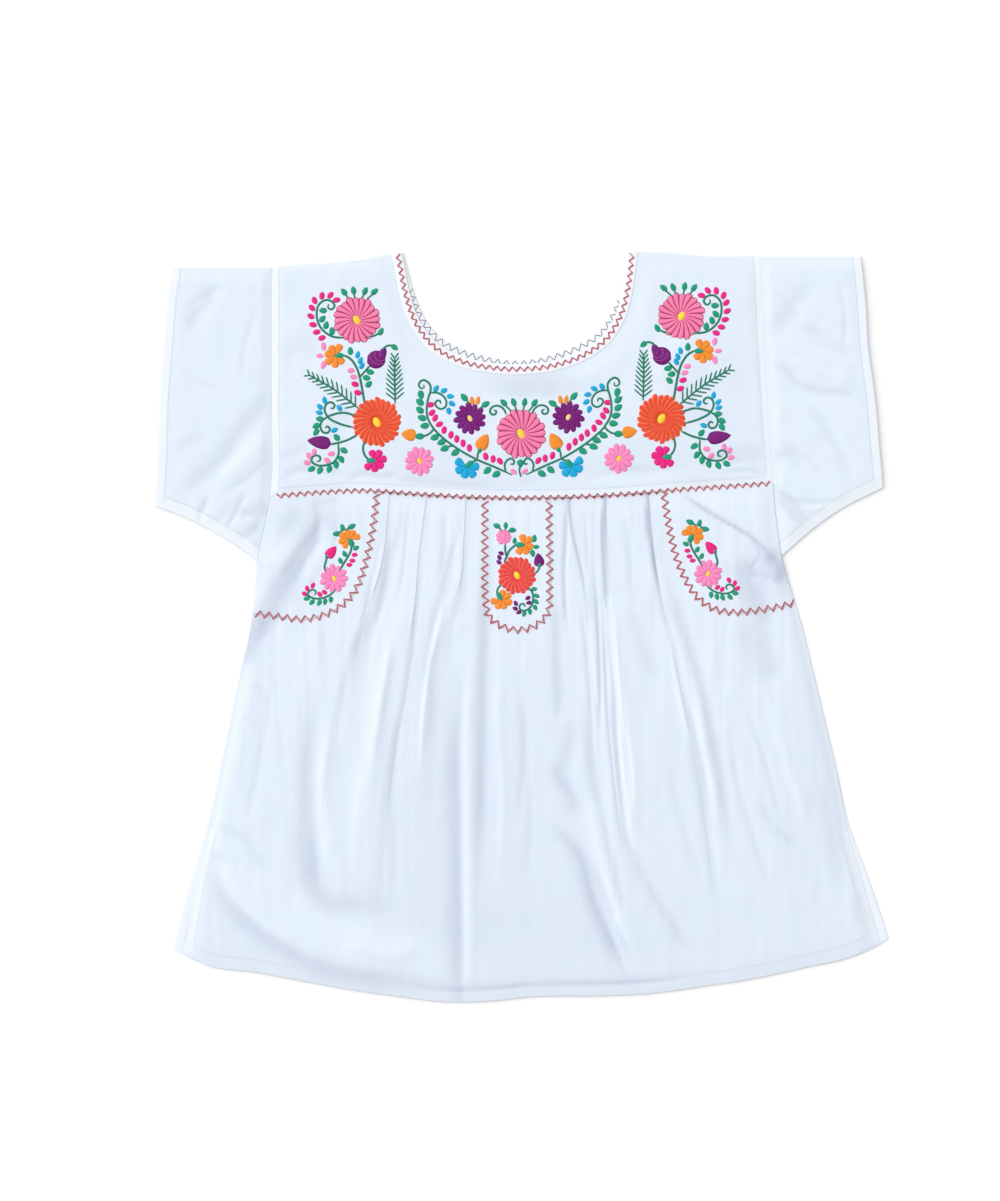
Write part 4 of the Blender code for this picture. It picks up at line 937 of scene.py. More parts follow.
def folds_at(places, folds):
    """Sum of the ridges and troughs over a grid of places x, y."""
    points = places.reshape(-1, 2)
    total = np.zeros(len(points))
    for height, *widths, path in folds:
        path = along(path, np.linspace(0, 1, PATH_FINENESS * len(path)))
        start = path[:-1]
        step = np.diff(path, axis=0)
        length = np.hypot(*step.T)
        passed = np.concatenate([[0.0], np.cumsum(length)])
        away = points[:, None, :] - start[None]
        t = np.clip((away * step).sum(-1) / length**2, 0, 1)
        miss = away - t[..., None] * step
        distance = np.hypot(miss[..., 0], miss[..., 1])
        nearest = distance.argmin(axis=1)
        rows = np.arange(len(points))
        side = step[nearest, 0] * away[rows, nearest, 1] - step[nearest, 1] * away[rows, nearest, 0]
        width = np.where(side > 0, widths[0], widths[-1])
        share = (passed[nearest] + t[rows, nearest] * length[nearest]) / passed[-1]
        taper = ease(FOLD_TAPER * share) * ease(FOLD_TAPER * (1 - share)) * (1 - FOLD_END) + FOLD_END
        total += height * taper * np.exp(-((distance[rows, nearest] / width) ** 2))
    return total.reshape(places.shape[:-1])


def shade_at(places, folds=()):
    """How much shade is painted on the cloth at places x, y: in its troughs and over wide soft areas."""
    total = np.zeros(places.shape[:-1])
    for share, x, y, wide, tall in SHADED_AREAS:
        away = ((places[..., 0] - x) / wide) ** 2 + ((places[..., 1] - y) / tall) ** 2
        total += share * np.exp(-away)
    if folds:
        depth = -folds_at(places, folds)
        total += TROUGH_SHADE * np.clip(depth / SHADED_DEPTH, *TROUGH_SHADE_RANGE)
    return total


def pleat_edge(path, y):
    """x of a pleat's visible edge, whose path runs down."""
    return smooth(column(path[::-1], 1), column(path[::-1], 0), y)


def pleat_shade(x, y):
    """Painted shade: a dark line at the foot of each pleat and a soft painted shadow beside it, where it
    is closed.
    """
    total = np.zeros_like(x)
    for outward, _, opened, path in PLEATS:
        inward = (pleat_edge(path, y) - x) * outward
        closed = ease((y - opened + PLEAT_SHADE_PAST) / PLEAT_SHADE_FADE)
        height = (y - opened) / (PLEAT_TOP - opened)
        tight = ease(height * (1 + PLEAT_SHADOW_LINE_START) - PLEAT_SHADOW_LINE_START)
        line = tight * np.exp(-((inward / PLEAT_SHADOW_LINE_WIDTH) ** 2)) * (outward > 0)
        soft = PLEAT_SHADOW * closed * np.exp(-((inward / PLEAT_SHADOW_WIDTH) ** 2)) * (inward > 0)
        total += PLEAT_SHADOW_LINE * line + soft
    return total


def crumple(places, kind):
    """Small uneven wrinkles over the cloth at places x, y."""
    wide, tall, height, start = CRUMPLES[kind]
    waves = []
    for x, y in places.reshape(-1, 2) / (wide, tall):
        broad = noise.noise(Vector((x, y, start)))
        fine = noise.noise(Vector((2 * x, 2 * y, start)))
        waves.append(broad + 0.5 * fine)
    return height * np.array(waves).reshape(places.shape[:-1])


def settle(lift):
    """Keeps a fold from sinking through the layer below, with a soft corner."""
    return np.maximum(lift + np.sqrt(lift * lift + FLOOR_ROUND**2) - FLOOR_ROUND, 0) / 2


def steepness(points):
    """How steep the cloth lies at each point of a grid, from 0 flat to 1."""
    across = np.gradient(points, axis=1)
    down = np.gradient(points, axis=0)
    normal = np.cross(across, down)
    flat = np.abs(normal[..., 2]) + LEAST_LENGTH
    return np.clip(np.hypot(normal[..., 0], normal[..., 1]) / flat, 0, 1.0)


def piece_of(name, made):
    """An object in the scene with the mesh that was made for it."""
    mesh = bpy.data.meshes.new(name)
    made.to_mesh(mesh)
    made.free()
    piece = bpy.data.objects.new(name, mesh)
    bpy.context.scene.collection.objects.link(piece)
    return piece


def cloth_piece(node, points, material, marks=None, thickness=SHOWN_CLOTH, tube=False):
    """A thin shell of cloth through a grid of points, rows by columns by x, y, z.

    marks holds what the cloth's material reads at each point: "turned" is how far the point lies
    inside a doubled strip, in millimetres, "whiter" how white that strip is, "shade" how much
    shade is painted into its colour and "steep" how steep it is there, which paints shade too.
    """
    marks = dict(marks or {})
    for key, usual in (("turned", NOT_TURNED), ("whiter", USUAL_WHITER), ("shade", 0.0)):
        marks[key] = np.broadcast_to(marks.get(key, usual), points.shape[:2])
    marks["steep"] = steepness(points)
    rows, columns = points.shape[:2]
    across = points[:-1, 1:, :2] - points[:-1, :-1, :2]
    down = points[1:, :-1, :2] - points[:-1, :-1, :2]
    if not tube and (across[..., 0] * down[..., 1] - across[..., 1] * down[..., 0]).sum() < 0:
        points = points[::-1]
        marks = {key: value[::-1] for key, value in marks.items()}
    sheet = bmesh.new()
    bmesh.ops.create_grid(sheet, x_segments=columns - 1, y_segments=rows - 1, size=0.5)
    layers = {key: sheet.verts.layers.float.new(key) for key in marks}
    at = {}
    for vert in sheet.verts:
        i = round((vert.co.x + 0.5) * (columns - 1))
        j = round((vert.co.y + 0.5) * (rows - 1))
        x, y, z = points[j, i]
        vert.co = ((x - CENTRE_X) * MM, (y - CENTRE_Y) * MM, z * MM)
        for key, layer in layers.items():
            vert[layer] = marks[key][j, i]
        at[i, j] = vert
    if tube:
        bmesh.ops.weld_verts(sheet, targetmap={at[columns - 1, j]: at[0, j] for j in range(rows)})
    for face in sheet.faces:
        face.smooth = True
    piece = piece_of(node + "_cloth", sheet)
    wall = piece.modifiers.new("wall", "SOLIDIFY")
    wall.offset = 0.0
    wall.thickness = thickness * MM
    even = piece.modifiers.new("even_light", "WEIGHTED_NORMAL")
    even.weight = 100
    piece.data.materials.append(material)
    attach(piece, "root")
    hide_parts(node)
    return piece


def pleat_section(depth, openness):
    """Cross-section of one pleat from its inner foot to its outer top, as outward and upward steps."""
    share = min(openness / CLOSED_SHARE, 1.0)
    lap = (depth - 2 * PLEAT_RADIUS) * (1 - share) + LEAST_LAP * share
    opening = float(ease((openness - CLOSED_SHARE) / (1 - CLOSED_SHARE)))
    angle = math.pi * (1 - opening) + OPEN_ANGLE * opening
    radius = (math.pi * PLEAT_RADIUS * (1 - opening) + OPEN_BEND * opening**3) / angle
    turn = np.linspace(0, angle, FOLD_STEPS + 1)
    out = radius * np.sin(turn)
    up = radius * (1 - np.cos(turn))
    run = lap
    if opening > 0:
        rise = 4 * PLEAT_RADIUS * (1 - opening) + OPEN_RISE * opening
        needed = max((rise - 2 * up[-1]) / math.sin(angle), LEAST_RUN)
        run = min(needed, lap) if angle > math.pi / 2 else needed
    leg = np.array([run * math.cos(angle), run * math.sin(angle)])
    first = np.stack([out, up], axis=-1)
    second_start = first[-1] + leg
    second = second_start + (first[-1] - first[::-1])
    section = np.concatenate([first, second])
    middle = (section[0] + section[-1]) / 2
    section[:, 0] += (PLEAT_RADIUS + run / 2) * (1 - opening) - middle[0]
    return section


def body_row(v, y_keys, key_top, key_bottom):
    """One row across the front: x, y, z of the cloth and the x where its folds are read."""
    left = float(edge_at(SIDES, y_keys[0], LEFT_FRONT)) + SEAM_GAP / 2
    right = float(edge_at(SIDES, y_keys[-1], RIGHT_FRONT)) - SEAM_GAP / 2
    edges = []
    for (outward, depth, opened, path), y in zip(PLEATS, y_keys[1:-1]):
        openness = float(np.clip((PLEAT_TOP - y) / (PLEAT_TOP - opened) / FOLDED_SHARE, 0, 1))
        section = pleat_section(depth, openness)
        section[:, 1] *= 1 - PLEAT_SINK * float(ease((opened - y) / PLEAT_SINK_LENGTH))
        loose = float(ease((openness - CLOSED_SHARE) / (1 - CLOSED_SHARE)))
        edges.append((outward, float(pleat_edge(path, y)), section, loose))
    stations = []

    def span(from_x, to_x, from_z, to_z, count, ends=(0.0, 1.0)):
        """Plain cloth between two folds, rising from one height to the other."""
        for share in np.linspace(0, 1, count):
            rise = float(ease((share - ends[0]) / (ends[1] - ends[0])))
            x = from_x + (to_x - from_x) * share
            stations.append((x, from_z + (to_z - from_z) * rise, x))

    def folded(outward, edge, section, loose):
        """The fold itself, and the start of the cloth that lies on it."""
        top_x = edge + outward * section[-1][0]
        far_x = edge + outward * (section[:, 0].max() + FOLD_MARGIN)
        over = [(top_x + (far_x - top_x) * share, section[-1][1]) for share in LAP_STATIONS]
        over = [(x, up, x) for x, up in over]
        fold = [(edge + outward * q, up, edge + outward * q * loose) for q, up in section[::outward]]
        stations.extend(fold + over if outward > 0 else over[::-1] + fold)

    top_of = [section[-1][1] for _, _, section, _ in edges]
    outer = []
    inner = []
    for outward, edge, section, _ in edges:
        outer.append(edge + outward * (section[:, 0].max() + FOLD_MARGIN))
        inner.append(edge + outward * (min(section[:, 0].min(), 0.0) - FOLD_MARGIN))
    span(left, outer[0], 0.0, top_of[0], SIDE_COLUMNS, LEFT_RISE)
    folded(*edges[0])
    for k in (0, 1):
        span(inner[k], outer[k + 1], 0.0, top_of[k + 1], BETWEEN_COLUMNS)
        folded(*edges[k + 1])
    span(inner[2], inner[3], 0.0, 0.0, MIDDLE_COLUMNS)
    for k in (3, 4):
        folded(*edges[k])
        span(outer[k], inner[k + 1], top_of[k], 0.0, BETWEEN_COLUMNS)
    folded(*edges[5])
    span(outer[5], right, top_of[5], 0.0, SIDE_COLUMNS, RIGHT_RISE)

    x, z, read_at = np.array(stations).T
    keys = [left] + [edge for _, edge, _, _ in edges] + [right]
    top_x = np.interp(x, keys, key_top)
    bottom_x = np.interp(x, keys, key_bottom)
    top_y = height_along(YOKE_SEAM, top_x) - SEAM_GAP / 2
    y = top_y * (1 - v) + height_along(FRONT_HEM, bottom_x) * v
    return np.stack([x, y, z, read_at], axis=-1)


def make_front_body(cotton):
    key_top = [float(edge_at(SIDES, ARMHOLE_LOW[0], LEFT_FRONT))]
    key_top += [float(pleat_edge(path, PLEAT_TOP)) for *_, path in PLEATS]
    key_top += [float(edge_at(SIDES, ARMHOLE_LOW[1], RIGHT_FRONT))]
    key_bottom = [FRONT_HEM[0][0]] + [path[-1][0] for *_, path in PLEATS] + [FRONT_HEM[-1][0]]
    grid = []
    for v in np.linspace(0, 1, BODY_ROWS):
        y_keys = height_along(YOKE_SEAM, key_top) * (1 - v) + height_along(FRONT_HEM, key_bottom) * v
        grid.append(body_row(v, y_keys, key_top, key_bottom))
    grid = np.array(grid)
    points = grid[..., :3].copy()
    x, y = points[..., 0], points[..., 1]
    read_x = grid[..., 3]
    read = np.stack([read_x, y], axis=-1)
    folds = BODY_FOLDS + FINE_FOLDS
    near_yoke = ease((y - CRUMPLE_LOW) / CRUMPLE_FADE)
    near_yoke = CRUMPLE_AT_HEM + (1 - CRUMPLE_AT_HEM) * near_yoke
    lift = BODY_LIFT + folds_at(read, folds)
    lift += crumple(read, "front_long") * near_yoke + crumple(read, "front")
    from_left = read_x - points[:, :1, 0]
    from_right = points[:, -1:, 0] - read_x
    from_side = np.minimum(from_left, from_right)
    from_seam = points[0, :, 1][None] - y
    from_hem = y - points[-1, :, 1][None]
    side_rise, seam_rise, hem_rise = FRONT_RISES
    ends = ease(from_side / side_rise) * ease(from_seam / seam_rise)
    ends = ends * (HEM_HEIGHT + (1 - HEM_HEIGHT) * ease(from_hem / hem_rise))
    seamed = (1 - ease(from_side / SEAM_DIP)) * ease((UNDERARM_Y - y) / UNDERARM_FADE)
    hemmed = 1 - ease(from_hem / SEAM_DIP)
    points[..., 2] += FRONT_MID + settle(lift * ends) - SEAM_DROP * np.maximum(seamed, hemmed)
    slit = np.where(y < SLIT_TOP, SLIT_HEM_WIDTH - from_side, NOT_TURNED)
    # painted shade: in the troughs, over wide soft areas and at the foot of each pleat
    shade = shade_at(read, folds) + pleat_shade(x, y)
    marks = {"turned": np.maximum(HEM_WIDTH - from_hem, slit), "shade": shade}
    marks["whiter"] = np.where(slit > 0, *FRONT_WHITER)
    return cloth_piece("front_body", points, cotton, marks, PLEATED_CLOTH)


def neck_line(share, inward):
    """The neck seam moved towards the opening by a distance, or by one for each share."""
    way = ways_along(NECK_SEAM, share, SHORT_STEP)
    across = np.stack([-way[:, 1], way[:, 0]], axis=-1)
    return along(NECK_SEAM, share) + across * np.reshape(inward, (-1, 1))


def yoke_points(neck, left_column, right_column, gap):
    """Rings from the neck seam out to the armholes and the yoke seam, x and y."""
    sides = YOKE_AROUND
    left_low = float(height_along(YOKE_SEAM, -YOKE_CORNER)) + gap
    right_low = float(height_along(YOKE_SEAM, YOKE_CORNER)) + gap
    left_y = np.linspace(LEFT_SHOULDER[0][1], left_low, sides[0] + 1)[:-1]
    right_y = np.linspace(right_low, RIGHT_SHOULDER[0][1], sides[2] + 1)[1:]
    left_corner = float(edge_at(SIDES, left_low, left_column)) + gap
    right_corner = float(edge_at(SIDES, right_low, right_column)) - gap
    low_x = np.linspace(left_corner, right_corner, sides[1] + 1)
    outer = np.concatenate(
        [
            np.stack([edge_at(SIDES, left_y, left_column) + gap, left_y], axis=-1),
            np.stack([low_x, height_along(YOKE_SEAM, low_x) + gap], axis=-1),
            np.stack([edge_at(SIDES, right_y, right_column) - gap, right_y], axis=-1),
        ]
    )
    rings = []
    for share in np.linspace(0, 1, YOKE_RINGS + 1):
        ring = neck * (1 - share) + outer * share
        ring[0, 1] = float(height_along(LEFT_SHOULDER, ring[0, 0]))
        ring[-1, 1] = float(height_along(RIGHT_SHOULDER, ring[-1, 0]))
        rings.append(ring)
    return np.array(rings)


def around():
    """Shares of the neck seam that face the yoke's outer points."""
    left, bottom, right = YOKE_AROUND
    first, last = NECK_CORNERS
    return np.concatenate(
        [
            np.linspace(0, first, left + 1)[:-1],
            np.linspace(first, last, bottom + 1),
            np.linspace(last, 1, right + 1)[1:],
        ]
    )


def back_neck_rise(share):
    return smooth(column(BACK_NECK_RISE, 0), column(BACK_NECK_RISE, 1), share)


def at_shoulder(places):
    """How near places x, y lie to the shoulder line, from 0 to 1 on it."""
    x = places[..., 0]
    line = np.where(x < 0, height_along(LEFT_SHOULDER, x), height_along(RIGHT_SHOULDER, x))
    return 1 - ease((line - places[..., 1]) / SHOULDER_DIP)


def make_yokes(cotton):
    share = around()
    points = yoke_points(neck_line(share, -SEAM_GAP / 2), LEFT_FRONT, RIGHT_FRONT, SEAM_GAP / 2)
    x, y = points[..., 0], points[..., 1]
    lift = YOKE_LIFT + folds_at(points, YOKE_FOLDS) + crumple(points, "yoke")
    from_neck = np.hypot(*(points - points[:1]).transpose(2, 0, 1))
    from_edge = np.hypot(*(points - points[-1:]).transpose(2, 0, 1))
    from_top = np.abs(y - SHOULDER_Y)
    neck_rise, edge_rise, top_rise = YOKE_RISES
    ends = ease(from_neck / neck_rise) * ease(from_edge / edge_rise) * ease(from_top / top_rise)
    above_seam = y - height_along(YOKE_SEAM, x)
    near_seam = 1 - ease(above_seam / NEAR_YOKE_SEAM)
    in_pleats = ease((PLEATED_HALF - np.abs(x)) / PLEATED_FADE)
    z = FRONT_MID + settle(lift * ends) + SEAM_LIFT * near_seam * in_pleats
    z -= SHOULDER_DROP * at_shoulder(points)
    front = np.concatenate([points, z[..., None]], axis=-1)
    from_left = x - edge_at(SIDES, y, LEFT_FRONT)
    from_right = edge_at(SIDES, y, RIGHT_FRONT) - x
    turned = np.maximum(ARMHOLE_TURNING - from_left, ARMHOLE_TURNING - from_right)
    turned = np.maximum(turned, YOKE_TURNING - above_seam)
    # painted shade in the yoke's troughs and over wide soft areas
    marks = {"turned": turned, "shade": shade_at(points, YOKE_FOLDS)}
    marks["whiter"] = np.where(above_seam < YOKE_TURNING, *YOKE_WHITER)
    front_piece = cloth_piece("front_yoke", front, cotton, marks)
    marks["shade"] = 0.0

    back_neck = neck_line(share, back_neck_rise(share) - SEAM_GAP / 2)
    points = yoke_points(back_neck, LEFT_BACK, RIGHT_BACK, SEAM_GAP / 2)
    lift = settle(folds_at(points, BACK_YOKE_FOLDS) + crumple(points, "back_yoke")) * ends
    z = SHOWN_CLOTH / 2 + lift + SHOULDER_RISE * at_shoulder(points)
    back = np.concatenate([points, z[..., None]], axis=-1)
    cloth_piece("back_yoke", back, cotton, marks)
    return front_piece


def make_neck_bands(cotton):
    share = around()
    bands = []
    for node, moved, (middle, meet) in (
        ("neck_band_front", np.zeros(len(share)), FRONT_BAND),
        ("neck_band_back", back_neck_rise(share), BACK_BAND),
    ):
        lines = []
        for across in np.linspace(0, 1, BAND_LINES):
            inward = SEAM_GAP / 2 + (NECK_BAND_WIDTH - SEAM_GAP / 2) * across
            line = neck_line(share, moved + inward)
            line[0, 1] = NECK_SEAM[0][1] + BAND_TIPS[0] * across
            line[-1, 1] = NECK_SEAM[-1][1] + BAND_TIPS[1] * across
            crown = BAND_CROWN * math.sin(math.pi * across)
            height = middle + crown + meet * at_shoulder(line)
            lines.append(np.concatenate([line, height[:, None]], axis=1))
        points = np.array(lines)
        bands.append(cloth_piece(node, points, cotton, thickness=BAND_CLOTH))
    return bands


def sleeve_loop(side, share):
    """Points once round a sleeve, a share of the way out to its cuff.

    They are x, y, z, whether the point is on the upper layer, and its distance from the nearer
    edge and from the underarm seam.
    """
    outward, seam_column, cuff, underarm, top, _ = SLEEVES[side]
    edge = FOLD_RADIUS + CLOTH / 2
    turn = np.linspace(0, math.pi, FOLD_STEPS + 1)[1:-1]
    across = np.linspace(0, 1, SLEEVE_ACROSS + 1) ** SLEEVE_SPACING
    guess = float(edge_at(SIDES, SLEEVE_MIDDLE_Y, seam_column)) * (1 - share)
    guess += float(edge_at(cuff, SLEEVE_MIDDLE_Y)) * share
    low = float(height_along(underarm, guess))
    for _ in range(SEAM_ROUNDS):
        seam_x = float(edge_at(SIDES, low, seam_column))
        low_x = seam_x * (1 - share) + float(edge_at(cuff, low)) * share
        low = float(height_along(underarm, low_x))
    high = float(height_along(top, guess))
    low_mid = low + edge
    high_mid = high - edge
    middle = (CLOTH / 2 + FRONT_MID) / 2
    level = low_mid + (high_mid - low_mid) * across
    under = np.stack([level, np.full_like(level, CLOTH / 2), np.zeros_like(level)])
    upper_fold = [high_mid + FOLD_RADIUS * np.sin(turn), middle - FOLD_RADIUS * np.cos(turn), 0 * turn]
    upper = np.stack([level[::-1], np.full_like(level, FRONT_MID), np.ones_like(level)])
    lower_fold = [low_mid - FOLD_RADIUS * np.sin(turn), middle + FOLD_RADIUS * np.cos(turn), 0 * turn]
    rows = [under, np.stack(upper_fold), upper, np.stack(lower_fold), under[:, :1]]
    y, z, on_top = np.concatenate(rows, axis=1)
    x = (edge_at(SIDES, y, seam_column) + outward * SEAM_GAP / 2) * (1 - share)
    x += edge_at(cuff, y) * share
    return np.stack([x, y, z, on_top, np.minimum(y - low, high - y), y - low], axis=-1)


def make_sleeve(side, cotton):
    """A flattened tube: under layer, folded edge at the top, upper layer, seamed edge below."""
    outward, *_, folds = SLEEVES[side]
    folds = folds + FINE_SLEEVE_FOLDS[side]
    shares = np.linspace(0, 1, SLEEVE_DOWN + 1)
    loops = np.array([sleeve_loop(side, share) for share in shares])
    name = "sleeve_" + side
    lift = SLEEVE_LIFT + folds_at(loops[..., :2], folds) + crumple(loops[..., :2], name)
    # painted shade in the troughs of the upper layer and over wide soft areas
    shade = shade_at(loops[..., :2], folds) * loops[..., 3] * SLEEVE_SHADE
    from_armhole = shares[:, None] * SLEEVE_LENGTH
    from_cuff = (1 - shares[:, None]) * SLEEVE_LENGTH
    edge_rise, seam_rise = SLEEVE_RISES
    ends = loops[..., 3] * ease(loops[..., 4] / edge_rise) * ease(from_armhole / seam_rise)
    ends = ends * (CUFF_HEIGHT + (1 - CUFF_HEIGHT) * ease((1 - shares[:, None]) * CUFF_RISE))
    loops[..., 2] += settle(lift) * ends
    turned = np.maximum(CUFF_HEM_WIDTH - from_cuff, UNDERARM_TURNING - loops[..., 5])
    points = loops[..., :3]
    if outward < 0:
        points = points[::-1]
        turned = turned[::-1]
        shade = shade[::-1]
    marks = {"turned": turned, "whiter": SLEEVE_WHITER, "shade": shade}
    return cloth_piece(name, points, cotton, marks, tube=True)


def make_back_body(cotton):
    top_left = float(edge_at(SIDES, ARMHOLE_LOW[0], LEFT_BACK))
    top_right = float(edge_at(SIDES, ARMHOLE_LOW[1], RIGHT_BACK))
    u = np.linspace(0, 1, BACK_ACROSS + 1)
    top_x = top_left * (1 - u) + top_right * u
    bottom_x = BACK_CORNERS[0] * (1 - u) + BACK_CORNERS[1] * u
    hem_x = np.clip(bottom_x * BACK_HEM_SHARE, FRONT_HEM[0][0], FRONT_HEM[-1][0])
    lowest = height_along(FRONT_HEM, hem_x) + BACK_HEM_RISE
    top_y = height_along(YOKE_SEAM, top_x) - SEAM_GAP / 2
    grid = []
    for v in np.linspace(0, 1, BACK_DOWN + 1):
        y = top_y * (1 - v) + lowest * v
        left = edge_at(SIDES, y, LEFT_BACK) + SEAM_GAP / 2
        right = edge_at(SIDES, y, RIGHT_BACK) - SEAM_GAP / 2
        grid.append(np.stack([left * (1 - u) + right * u, y, np.full_like(y, SHOWN_CLOTH / 2)], axis=-1))
    points = np.array(grid)
    x, y = points[..., 0], points[..., 1]
    from_side = np.minimum(x - points[:, :1, 0], points[:, -1:, 0] - x)
    from_hem = y - lowest[None]
    from_seam = top_y[None] - y
    ends = ease(from_side / BACK_RISE) * ease(from_hem / BACK_RISE) * ease(from_seam / BACK_RISE)
    lift = folds_at(points[..., :2], BACK_FOLDS) + crumple(points[..., :2], "back")
    points[..., 2] += settle(lift) * ends
    slit = np.where(y < BACK_SLIT_TOP, SLIT_HEM_WIDTH - from_side, NOT_TURNED)
    marks = {"turned": np.maximum(HEM_WIDTH - from_hem, slit)}
    marks["whiter"] = np.where(slit > 0, *BACK_WHITER)
    return cloth_piece("back_body", points, cotton, marks)


def tree_of(*pieces):
    """What a ray meets of these pieces, their thickness included."""
    bpy.context.view_layer.update()
    ready = bpy.context.evaluated_depsgraph_get()
    whole = bmesh.new()
    for piece in pieces:
        made = bpy.data.meshes.new_from_object(piece.evaluated_get(ready))
        whole.from_mesh(made)
        bpy.data.meshes.remove(made)
    tree = BVHTree.FromBMesh(whole)
    whole.free()
    return tree


def top_at(tree, x, y, reach=0.0):
    """Height in millimetres of the highest cloth at x, y, or within a reach of it."""
    steps = ((0, 0), (1, 0), (-1, 0), (0, 1), (0, -1)) if reach else ((0, 0),)
    best = None
    for step_x, step_y in steps:
        at_x = (x + reach * step_x - CENTRE_X) * MM
        at_y = (y + reach * step_y - CENTRE_Y) * MM
        hit = tree.ray_cast(Vector((at_x, at_y, RAY_HEIGHT)), Vector((0, 0, -1)))[0]
        if hit is not None and (best is None or hit.z / MM > best):
            best = hit.z / MM
    return best


def patch(top, bottom, left, right):
    """Points x, y of a grid between four edges that meet at its corners, row by row from the top."""
    u = np.linspace(0, 1, len(top))[None, :, None]
    v = np.linspace(0, 1, len(left))[:, None, None]
    between_ends = (1 - v) * top[None] + v * bottom[None]
    between_sides = (1 - u) * left[:, None] + u * right[:, None]
    corners = (1 - v) * ((1 - u) * top[0] + u * top[-1]) + v * ((1 - u) * bottom[0] + u * bottom[-1])
    return between_ends + between_sides - corners


def lay_panel(node, flat, cotton, tree):
    """A piece sewn on the front, set down on the cloth below it."""
    height = np.array([[top_at(tree, x, y, PANEL_REACH) for x, y in row] for row in flat])
    height += PANEL_LIFT + SHOWN_CLOTH / 2
    height += settle(crumple(flat, "panels"))
    points = np.concatenate([flat, height[..., None]], axis=-1)
    # painted shade from the front's troughs and over wide soft areas
    marks = {"shade": shade_at(flat, BODY_FOLDS + FINE_FOLDS)}
    return cloth_piece(node, points, cotton, marks)


def seam_below(x):
    """y of the upper edge of a piece that hangs from the yoke seam."""
    return height_along(YOKE_SEAM, x) - SEAM_GAP / 2 - PANEL_MARGIN


def make_side_panel(node, table, seam_column, side, cotton, tree):
    """side is -1 for the left panel and 1 for the right one."""
    across = np.linspace(0, 1, PANEL_ACROSS + 1)
    down = np.linspace(0, 1, PANEL_DOWN + 1)
    inner_edge = along(table, down * PANEL_CORNER)
    inner_edge[:, 1] += (seam_below(inner_edge[0, 0]) - inner_edge[0, 1]) * (1 - down)
    lower_edge = along(table, 1 - across * (1 - PANEL_CORNER))
    inset = side * (SEAM_GAP / 2 + PANEL_MARGIN)
    lower_edge[0, 0] = float(edge_at(SIDES, lower_edge[0, 1], seam_column)) - inset
    top_y = float(seam_below(side * YOKE_CORNER))
    arm_edge = np.empty_like(inner_edge)
    arm_edge[:, 1] = top_y * (1 - down) + lower_edge[0, 1] * down
    arm_edge[:, 0] = edge_at(SIDES, arm_edge[:, 1], seam_column) - inset
    top_edge = np.empty_like(lower_edge)
    top_edge[:, 0] = arm_edge[0, 0] * (1 - across) + inner_edge[0, 0] * across
    top_edge[:, 1] = seam_below(top_edge[:, 0])
    top_edge[0, 1] = arm_edge[0, 1]
    flat = patch(top_edge, lower_edge, arm_edge, inner_edge)
    return lay_panel(node, flat if side < 0 else flat[:, ::-1], cotton, tree)


def make_centre_tab(cotton, tree):
    across = np.linspace(0, 1, TAB_ACROSS + 1)
    down = np.linspace(0, 1, TAB_DOWN + 1)
    left_edge = along(TAB_EDGE, down * TAB_CORNER)
    right_edge = along(TAB_EDGE, 1 - down * TAB_CORNER)
    lower_edge = along(TAB_EDGE, TAB_CORNER + across * (1 - 2 * TAB_CORNER))
    for edge in (left_edge, right_edge):
        edge[:, 1] += (seam_below(edge[0, 0]) - edge[0, 1]) * (1 - down)
    top_edge = np.empty_like(lower_edge)
    top_edge[:, 0] = left_edge[0, 0] * (1 - across) + right_edge[0, 0] * across
    top_edge[:, 1] = seam_below(top_edge[:, 0])
    return lay_panel("centre_tab", patch(top_edge, lower_edge, left_edge, right_edge), cotton, tree)


def colour(red, green, blue):
    """A colour given in the 0 to 255 of a paint chart, as the shader's linear one."""
    parts = np.array([red, green, blue]) / 255
    linear = np.where(parts <= 0.04045, parts / 12.92, ((parts + 0.055) / 1.055) ** 2.4)
    return (float(linear[0]), float(linear[1]), float(linear[2]), 1.0)


class Nodes:
    """Adds nodes to a material or a group, each wired as it is made."""

    def __init__(self, tree):
        self.tree = tree

    def put(self, value, socket):
        if isinstance(value, bpy.types.NodeSocket):
            self.tree.links.new(value, socket)
        else:
            socket.default_value = value

    def add(self, kind, inputs=(), **settings):
        node = self.tree.nodes.new(kind)
        for key, value in settings.items():
            setattr(node, key, value)
        for key, value in dict(inputs).items():
            self.put(value, node.inputs[key])
        return node

    def maths(self, operation, first, second=0.0):
        return self.add("ShaderNodeMath", {0: first, 1: second}, operation=operation).outputs[0]

    def between(self, value, low, high, to_low=0.0, to_high=1.0):
        """A value moved smoothly from one range to another."""
        inputs = {"Value": value, "From Min": low, "From Max": high, "To Min": to_low, "To Max": to_high}
        return self.add("ShaderNodeMapRange", inputs, interpolation_type="SMOOTHSTEP").outputs[0]

    def blend(self, share, first, second):
        inputs = {"Factor": share, "A": first, "B": second}
        node = self.add("ShaderNodeMix", data_type="RGBA", blend_type="MIX")
        for key, value in inputs.items():
            self.put(value, node.inputs[key])
        return node.outputs["Result"]

    def noise(self, place, scale, detail=2.0, roughness=0.5):
        inputs = {"Vector": place, "Scale": scale, "Detail": detail, "Roughness": roughness}
        return self.add("ShaderNodeTexNoise", inputs).outputs[0]

    def wave(self, place, scale, direction, distortion):
        inputs = {"Vector": place, "Scale": scale, "Distortion": distortion, "Detail": 1.0}
        return self.add(
            "ShaderNodeTexWave", inputs, bands_direction=direction, wave_profile="SIN"
        ).outputs["Fac"]

    def stretch(self, place, scale):
        inputs = {"Vector": place, "Scale": scale}
        return self.add("ShaderNodeMapping", inputs, vector_type="POINT").outputs[0]

    def mark(self, name):
        return self.add("ShaderNodeAttribute", attribute_name=name).outputs["Fac"]


